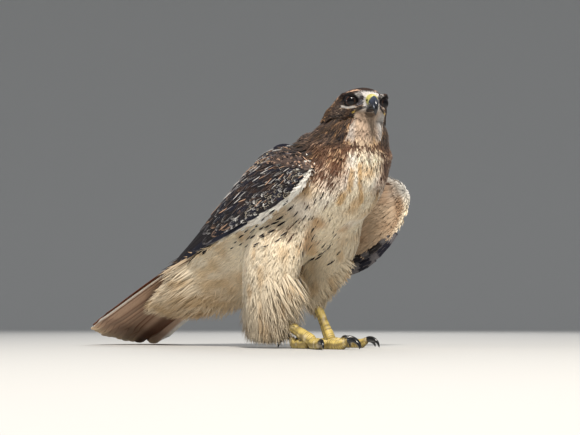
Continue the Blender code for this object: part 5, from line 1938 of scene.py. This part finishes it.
# A strip of the unwrap for each tube: round it across, along it up. The two end points share the ends.
def tubeSpots(rings, sides, box=(0, 0, 1, 1)):
    a = np.linspace(0, 1, sides + 1)[:-1]
    t = np.linspace(0, 1, rings)
    grid = np.stack(np.meshgrid(a, t, indexing="xy"), -1).reshape(-1, 2)
    grid = np.concatenate([grid, [[0.5, 0.0], [0.5, 1.0]]])
    return np.array(box[:2]) + grid * (np.array(box[2:]) - np.array(box[:2]))


# Shades between colours at stops along a value, for smooth fades such as the bill's from blue to black.
def ramp(tree, value, stops):
    node = addNode(tree, "ValToRGB", {0: value})
    bar = node.color_ramp.elements
    while len(bar) < len(stops):
        bar.new(0.5)
    for element, (at, colour) in zip(bar, stops):
        element.position = at
        element.color = (*[float(v) for v in colour], 1)
    return node.outputs[0]


hornShape = {"specular": 0.5, "coatRoughness": 0.12, "detail": 3.0, "distortion": 0.6, "shift": 0.10,
             "bump": 0.4, "depth": 0.0002}


# Horn that fades along its piece through the stops, with noise that shifts them and ridges it.
def hornLook(name, stops, roughness, coatWeight, ridges):
    look, tree, shader = newLook(name, roughness, hornShape["specular"])
    shader.inputs["Coat Weight"].default_value = coatWeight
    shader.inputs["Coat Roughness"].default_value = hornShape["coatRoughness"]
    along = split(tree)[1]
    noise = objectNoise(tree, ridges, hornShape["detail"], Distortion=hornShape["distortion"])
    shift = calc(tree, "MULTIPLY", calc(tree, "SUBTRACT", noise, 0.5), hornShape["shift"])
    tree.links.new(ramp(tree, calc(tree, "ADD", along, shift), stops), shader.inputs["Base Color"])
    addBump(tree, shader, noise, hornShape["bump"], hornShape["depth"])
    return look


waxShape = {"specular": 0.45, "detail": 4.0, "low": 0.3, "high": 0.7, "depth": 0.0003}


# Soft bare skin, mottled between a colour and its shade by noise of the given grain.
def waxLook(name, colour, shade, roughness, grain, bump):
    look, tree, shader = newLook(name, roughness, waxShape["specular"])
    noise = objectNoise(tree, grain, waxShape["detail"])
    ends = {"Value": noise, "From Min": waxShape["low"], "From Max": waxShape["high"]}
    share = addNode(tree, "MapRange", ends).outputs[0]
    tree.links.new(blendColours(tree, share, (*shade, 1), (*colour, 1)), shader.inputs["Base Color"])
    addBump(tree, shader, noise, bump, waxShape["depth"])
    return look


# The iris's stops are distances from the gaze's place on the ball, as shares of reach in metres. The wide
# pupil and dark iris are partly painted shade from the brow.
eyeShape = {"gaze": (0.91, 0.40, -0.06), "reach": 0.01, "roughness": 0.2, "specular": 0.15, "coat": 0.3,
            "coatRoughness": 0.03, "rings": 24, "sides": 32, "pupil": (0.003, 0.003, 0.004),
            "pupilEdge": (0.004, 0.003, 0.004), "rim": (0.005, 0.004, 0.005),
            "stops": (0.0, 0.42, 0.48, 0.57, 0.63, 0.68)}


# The eye: pupil, iris and dark rim by the distance from its gaze, under a clear coat.
def eyeLook(name, side):
    shape = eyeShape
    look, tree, shader = newLook(name, shape["roughness"], shape["specular"])
    shader.inputs["Coat Weight"].default_value = shape["coat"]
    shader.inputs["Coat Roughness"].default_value = shape["coatRoughness"]
    mirror = np.array([1, side, 1])
    gaze = unit(np.array(shape["gaze"]) * mirror)
    front = fromHead(np.array(headShape["eye"]) * mirror + gaze * headShape["eyeRadius"])
    place = tuple(float(v) for v in (front - floorCentre) * toMetres)
    far = addNode(tree, "VectorMath", {0: objectPlace(tree), 1: place}, operation="DISTANCE").outputs[1]
    inks = [shape["pupil"], shape["pupilEdge"], ink("brown") * 0.35, ink("brown") * 0.9,
            ink("darkBrown") * 0.6, shape["rim"]]
    colour = ramp(tree, calc(tree, "MULTIPLY", far, 1 / shape["reach"]), list(zip(shape["stops"], inks)))
    tree.links.new(colour, shader.inputs["Base Color"])
    return look


def ballMesh(centre, radius):
    rings, sides = eyeShape["rings"], eyeShape["sides"]
    a = np.linspace(0, np.pi, rings + 2)[1:-1][:, None]
    b = circle(sides)[None, :]
    ball = np.stack([np.sin(a) * np.cos(b), np.sin(a) * np.sin(b), np.cos(a) + 0 * b], -1) * radius + centre
    ends = [np.array(centre) + (0, 0, radius), np.array(centre) - (0, 0, radius)]
    return np.concatenate([ball.reshape(-1, 3), ends]), capFaces(rings, sides)


# The lids: a ring of skin that follows the eyeball round its opening, from just inside the rim to
# beyond it. Its cross-section is a half circle, thickest at the top where the brow holds it.
lidShape = {"inside": 0.90, "outside": 1.22, "thickness": 0.55, "sides": 48, "steps": 9, "power": 0.7,
            "topMore": 0.45, "sunk": 0.35, "depth": 1.2}


def lidMesh(side):
    shape, n, steps = lidShape, lidShape["sides"], lidShape["steps"]
    a = circle(n)[:, None]
    t = np.linspace(0, 1, steps)[None, :]
    ring = shape["inside"] + (shape["outside"] - shape["inside"]) * t
    out, ahead, up = faceAxes(eyeOpening["out"])
    flat = (ahead * (ring * np.cos(a))[..., None] * eyeOpening["halfLength"]
            + up * (ring * np.sin(a))[..., None] * eyeOpening["halfHeight"])
    base = np.array(eyeOpening["centre"]) + flat
    off = base - np.array(headShape["eye"])
    along = off @ out
    wide = ((off - along[..., None] * out) ** 2).sum(-1)
    onBall = np.sqrt(np.maximum(headShape["eyeRadius"] ** 2 - wide, 0))
    thick = shape["thickness"] * np.sin(np.pi * t) ** shape["power"]
    lift = onBall + thick * (1 + shape["topMore"] * np.maximum(np.sin(a), 0)) - shape["sunk"]
    top = base + out * (lift - along)[..., None]
    back = base + out * (onBall - shape["depth"] - along)[..., None]
    points = np.concatenate([top.reshape(-1, 3), back.reshape(-1, 3)]) * np.array([1, side, 1])
    i = np.arange(n) * steps
    j = np.roll(i, -1)
    across = np.arange(steps - 1)
    low, high = i[:, None] + across, j[:, None] + across
    quads = np.stack([low, low + 1, high + 1, high], -1).reshape(-1, 4)
    inner = np.stack([i, j, j + n * steps, i + n * steps], -1)
    outer = np.stack([i, i + n * steps, j + n * steps, j], -1) + steps - 1
    return fromHead(points), [np.concatenate([quads, quads[:, ::-1] + n * steps, inner, outer])]


# Turns a closed mesh's faces outwards where its signed volume, the sum of a.(b x c)/6, is negative.
def outwards(points, faceSets):
    volume = 0.0
    for faces in faceSets:
        for k in range(1, faces.shape[1] - 1):
            a, b, c = points[faces[:, 0]], points[faces[:, k]], points[faces[:, k + 1]]
            volume += (a * np.cross(b, c)).sum()
    return faceSets if volume > 0 else [faces[:, ::-1] for faces in faceSets]


# A flat unwrap from the side, with a margin.
def boxSpots(points, margin=0.02):
    local = points - points.min(0)
    size = local.max(0)
    return margin + local[:, [0, 2]] / max(size[0], size[2]) * (1 - 2 * margin)


# A closed tube through stations on the head's axes. A tooth bows its lower edge down half way along.
def headTube(stations, rings, sides, box=(0, 0, 1, 1), upward=(0.0, 0.0, 1.0), taper=0.0, tooth=None):
    ring, centre, ahead = tubeRings(stations, rings, sides, upward, taper)
    if tooth:
        deep, place, reach = tooth
        t = np.linspace(0, 1, rings)[:, None]
        ring[..., 2] -= (ring[..., 2] < centre[:, None, 2]) * deep * np.exp(-((t - place) / reach) ** 2)
    points, faces = tubeMesh(ring, centre, ahead)
    points = fromHead(points)
    return {"points": points, "faces": outwards(points, faces), "OFBake": tubeSpots(rings, sides, box),
            "vane": tubeSpots(rings, sides)}


# Joined tubes as one piece, with the named maps.
def putTubes(name, parts, maps=("OFBake", "vane")):
    points, faces, values = joined(parts)
    return putMesh(name, points, faces, maps={key: values[key] for key in maps})


def headLooks():
    blue, black, lidInk = ink("billBlue"), ink("billBlack"), ink("lidSkin")
    cereInk = ink("cereYellow")
    return {
        "upper": hornLook("billHorn", [(0.0, blue), (0.25, blue * 0.8), (0.48, black * 2 + blue * 0.12),
                                       (0.65, black)], 0.24, 0.6, 260.0),
        "lower": hornLook("lowerBillHorn", [(0.0, blue * 0.3), (0.45, blue * 0.15), (0.75, black)],
                          0.32, 0.4, 260.0),
        "cere": waxLook("cereSkin", cereInk, cereInk * 0.72 + blue * 0.1, 0.42, 420.0, 0.5),
        "lid": waxLook("lidSkin", lidInk, lidInk * 0.5, 0.55, 900.0, 0.7),
        "gape": hornLook("gapeSkin", [(0.0, black), (0.55, lidInk), (0.76, ink("footShade") * 0.7),
                                      (0.90, ink("gapeYellow") * 0.9)], 0.5, 0.1, 500.0),
    }


def buildHeadParts(looks):
    shape = headParts
    tubes = [("billUpper", "upper", "horn", "bill_upper", 26, 28, (1, 0, 1), shape["taper"], shape["tooth"]),
             ("billLower", "lower", "horn", "bill_lower", 16, 24, (0, 0, 1), 0.0, None),
             ("cere", "cere", "cere_skin", "cere", 18, 32, (0, 0, 1), 0.0, None)]
    for name, key, slot, node, rings, sides, upward, taper, tooth in tubes:
        part = headTube(shape[key], rings, sides, upward=upward, taper=taper, tooth=tooth)
        settle(putTubes(name, [part]), looks[key], slot, node)
    # lips: two soft rolls from the bill back to the corner of the mouth
    parts = []
    for side in (-1, 1):
        for shift, size in shape["rolls"]:
            line = np.array(shape["mouth"]) * (1, side, 1) + (0, 0, shift)
            fat = shape["lip"] * size * np.array(shape["lipProfile"])
            stations = np.concatenate([line, np.repeat(fat[:, None], 3, 1)], 1)
            left = (side + 1) / 4 + (shift > 0) * 0.25
            parts.append(headTube(stations, *shape["lipMesh"], (left + 0.01, 0, left + 0.24, 1)))
    settle(putTubes("lips", parts), looks["gape"], "cere_skin")
    # nostrils: dark ovals in the cere, each a shallow lens whose near black is painted shade for the opening
    parts = []
    for side in (-1, 1):
        mirror = np.array([1, side, 1])
        out, ahead, up = faceAxes(np.array(shape["nostrilOut"]) * mirror)
        centre = np.array(shape["nostril"]) * mirror + (0, shape["nostrilShift"], 0)
        size = shape["nostrilSize"]
        stations = []
        for t in (-1, -0.7, -0.3, 0.3, 0.7, 1):
            thick = np.sqrt(max(1 - t * t, 0.02)) * size * np.array([shape["nostrilFlat"], 1, 1])
            stations.append((*(centre + ahead * size * shape["nostrilLong"] * t), *thick))
        left = (side + 1) / 4
        parts.append(headTube(stations, *shape["nostrilMesh"], (left, 0, left + 0.45, 1)))
    hole, tree, shader = newLook("nostrilDark", 0.9, 0.1)
    shader.inputs["Base Color"].default_value = shape["nostrilInk"]
    settle(putTubes("nostrils", parts, ("OFBake",)), hole, "horn")


def buildEyes(looks):
    for side, label in ((-1, "right"), (1, "left")):
        name = label.capitalize()
        centre = fromHead(np.array(headShape["eye"]) * (1, side, 1))
        jobs = [("eye" + name, ballMesh(centre, headShape["eyeRadius"]), eyeLook("eye" + name, side), "eye",
                 ["eye_" + label]),
                ("lid" + name, lidMesh(side), looks["lid"], "cere_skin", [])]
        for title, (points, faces), look, slot, nodes in jobs:
            piece = putMesh(title, points, outwards(points, faces), maps={"OFBake": boxSpots(points)},
                            sharp=None)
            settle(piece, look, slot, *nodes)


# The legs and feet.
# Each foot: where its shank starts and ends, and each toe's name, turn, length and claw length.
footShape = {
    "right": {"ankle": (2.0, -43.0, 44.0), "foot": (66.0, -43.0, 9.0), "heading": -6.0, "mirror": -1.0},
    "left": {"ankle": (12.0, 34.0, 62.0), "foot": (38.0, 33.0, 9.0), "heading": 8.0, "mirror": 1.0},
    "toes": [("inner", -38.0, 33.0, 24.0), ("middle", -4.0, 47.0, 21.0), ("outer", 34.0, 37.0, 17.0),
             ("hind", 178.0, 27.0, 27.0)],
    "start": 5.0, "steps": [0, 0.14, 0.28, 0.41, 0.52, 0.66, 0.80, 0.91, 1.0],
    "girths": [6.4, 6.0, 5.4, 5.0, 5.8, 4.9, 5.4, 4.3, 3.4], "depth": 1.12, "sink": 0.88, "toeEnd": 0.82,
    "shank": [(0, 6.8), (0.25, 5.6), (0.6, 5.4), (0.85, 6.4), (0.97, 6.6), (1.03, 5.0), (1.08, 2.2)],
    "shankDepth": 1.1, "shankTop": (14, 6.8, 7.4), "shankMesh": (64, 32), "toeMesh": (52, 28), "toePad": 0.5,
    "scutePitch": 2.5, "scuteHeight": 0.45, "scuteSink": 0.15, "beadPitch": 0.62, "beadGirth": 5.0,
    "beadsPerGirth": 2.4, "beadHeight": 0.75, "relief": 3, "padPitch": 11.0,
    "clawRadius": 3.4, "clawPoint": 0.45, "clawStart": -22.0, "clawTurn": 105.0, "clawGap": 1.5,
    "clawPower": 0.7, "clawWidth": 0.80, "clawDepth": 0.92, "clawMesh": (24, 16), "clawFloor": 0.05,
    "clawUp": (0.5, 0.87),
    # how the yellow fades into painted shade between and under the scales, and the pale and dark blotches
    "paintLeast": 0.25, "paintRelief": (0.1, 0.7), "underShade": (0.5, 0.3, 0.9), "underDark": 0.7,
    "creamShare": 0.35, "cream": (5.0, 32), "creamRange": (0.55, 0.85), "tone": (9.0, 31), "toneLow": 0.70,
    "toneRange": 0.5,
}


# Scutes are broad plates across the top, each lapping the next: height h (1 - phase)^0.5 sharply up at its
# near edge. Round the sides small beads take over: h |sin(along)| |sin(around)|.
def scaleRelief(along, around):
    shape = footShape
    pitch = shape["scutePitch"]
    phase = (along / pitch) % 1.0
    top = soft(0.15, 0.6, np.sin(around))
    plate = np.sqrt(1 - phase) * soft(0, 0.12, phase)
    beads = np.round(shape["beadGirth"] * shape["beadsPerGirth"])
    bead = np.abs(np.sin(np.pi * along / (pitch * shape["beadPitch"])) * np.sin(around * beads))
    return shape["scuteHeight"] * (plate * top + shape["beadHeight"] * bead * (1 - top))


# One shank or toe as a fine tube with its scales raised out of it, flattened where it meets the floor.
# The relief and how far round each point stands are also kept for the colour.
def scaledTube(stations, rings, sides, padded):
    shape = footShape
    ring, centre, ahead = tubeRings(stations, rings, sides)
    run = np.concatenate([[0], np.cumsum(np.linalg.norm(np.diff(centre, axis=0), axis=1))])[:, None]
    around = circle(sides)[None, :]
    fade = soft(0, shape["relief"], run) * soft(0, shape["relief"], run[-1] - run)
    relief = scaleRelief(run, around) * fade
    out = unit(ring - centre[:, None])
    ring = ring + out * (relief - shape["scuteSink"])[..., None]
    # rounded pads below, one at each joint
    under = soft(0.2, 0.9, -np.sin(around))
    ring[..., 2] -= under * padded * np.abs(np.sin(np.pi * run / shape["padPitch"])) * fade
    points, faces = tubeMesh(np.maximum(ring, (-np.inf, -np.inf, 0.0)), centre, ahead)
    points[:, 2] = np.maximum(points[:, 2], 0.0)
    shade = np.concatenate([relief.ravel() / shape["scuteHeight"], [0.5, 0.5]])
    low = np.concatenate([np.broadcast_to(np.sin(around), relief.shape).ravel(), [0, 0]])
    return points, faces, shade, low


# The claw's centre line: a turn of clawTurn degrees along its length, starting clawStart above level.
def clawLine(length, steps):
    turn = math.radians(footShape["clawTurn"])
    start = math.radians(footShape["clawStart"])
    bend = length / turn
    angle = start + turn * steps
    return bend * (np.sin(angle) - np.sin(start)), bend * (np.cos(start) - np.cos(angle))


def paintFoot(points, relief, low):
    shape, yellow, shade = footShape, ink("footYellow"), ink("footShade")
    most = 1 - shape["paintLeast"]
    # painted shade: the yellow darkens into the grooves between the scales
    tint = fading(shade, yellow, shape["paintLeast"] + most * soft(*shape["paintRelief"], relief))
    # painted shade: darker on the undersides
    share, start, end = shape["underShade"]
    tint = mixed(tint, shade * shape["underDark"], share * soft(start, end, -low))
    pale = soft(*shape["creamRange"], drift(points, *shape["cream"]))
    tint = mixed(tint, ink("cream"), shape["creamShare"] * pale)
    tint = tint * (shape["toneLow"] + shape["toneRange"] * drift(points, *shape["tone"]))[:, None]
    return np.clip(tint, 0, 1)


# A toe's stations, its claw's stations and the claw's upward direction.
def toeAndClaw(spec, foot, turn, length, clawLength):
    shape = footShape
    angle = math.radians(spec["heading"] + turn * spec["mirror"])
    ahead = np.array([math.cos(angle), math.sin(angle)])
    root = foot[:2] + shape["start"] * ahead
    t = np.linspace(0, 1, 12)
    out, drop = clawLine(clawLength, t)
    tipHeight = drop[-1] + 2 * shape["clawPoint"]
    toe = []
    for step, girth in zip(shape["steps"], shape["girths"]):
        high = girth * shape["depth"] * shape["sink"]
        high = tipHeight if step == 1.0 else high + (tipHeight - high) * soft(shape["toeEnd"], 1.0, step)
        toe.append((*(root + ahead * length * step), high, girth, girth, girth * shape["depth"]))
    r = shape["clawRadius"] * (1 - t) ** shape["clawPower"] + shape["clawPoint"]
    tip = root + ahead * length
    x, y = (tip[k] + ahead[k] * (shape["clawGap"] + out) for k in (0, 1))
    claw = np.stack([x, y, tipHeight - drop, r * shape["clawWidth"], r, r * shape["clawDepth"]], -1)
    level, up = shape["clawUp"]
    return toe, claw, (level * ahead[0], level * ahead[1], up)


def buildFeet(look):
    shape = footShape
    stops = [(0.0, ink("billBlack") * 1.6), (0.25, ink("claw")), (1.0, ink("claw") * 0.8)]
    horn = hornLook("clawHorn", stops, 0.26, 0.5, 300.0)
    for side in ("right", "left"):
        spec = shape[side]
        ankle, foot = np.array(spec["ankle"]), np.array(spec["foot"])
        # the shank starts well up inside the trousers
        before, width, deep = shape["shankTop"]
        shank = [(*(ankle - unit(foot - ankle) * before), width, deep, deep)]
        for t, r in shape["shank"]:
            deep = r * shape["shankDepth"]
            shank.append((*(ankle + (foot - ankle) * t), r, deep, deep))
        jobs = [("tarsus_" + side, shank, shape["shankMesh"], 0.0)]
        for label, turn, length, clawLength in shape["toes"]:
            toe, line, upward = toeAndClaw(spec, foot, turn, length, clawLength)
            jobs.append(("toe_%s_%s" % (label, side), toe, shape["toeMesh"], shape["toePad"]))
            ring, centre, ahead = tubeRings(line, *shape["clawMesh"], upward)
            ring[..., 2] = np.maximum(ring[..., 2], shape["clawFloor"])
            points, faces = tubeMesh(ring, centre, ahead)
            points[:, 2] = np.maximum(points[:, 2], shape["clawFloor"])
            spots = tubeSpots(*shape["clawMesh"])
            claw = putMesh("claw" + label.capitalize() + side.capitalize(), points, outwards(points, faces),
                           maps={"OFBake": spots, "vane": spots})
            settle(claw, horn, "horn", "claw_%s_%s" % (label, side))
        for node, rows, size, pad in jobs:
            points, faces, relief, low = scaledTube(rows, *size, pad)
            first, *others = node.split("_")
            piece = putMesh(first + "".join(word.capitalize() for word in others), points,
                            outwards(points, faces), colours={"tint": paintFoot(points, relief, low)},
                            maps={"OFBake": tubeSpots(*size)})
            settle(piece, look, "foot_skin", node)
        print(side, "foot")


makeCamera()
makeStudio()
print("camera, floor and lights are in place")
looks = makeLooks()
makeField()
print("body field", field["distance"].shape)
placeStreaks()
buildSkin(looks["skin"])
print("skin", len(skin["tri"]), "triangles")
dressBody(looks)
buildStreaks(looks["down"])
dressWings(looks)
buildWings(looks)
buildTail(looks["flight"])
bareParts = headLooks()
buildHeadParts(bareParts)
buildEyes(bareParts)
buildFeet(looks["foot"])
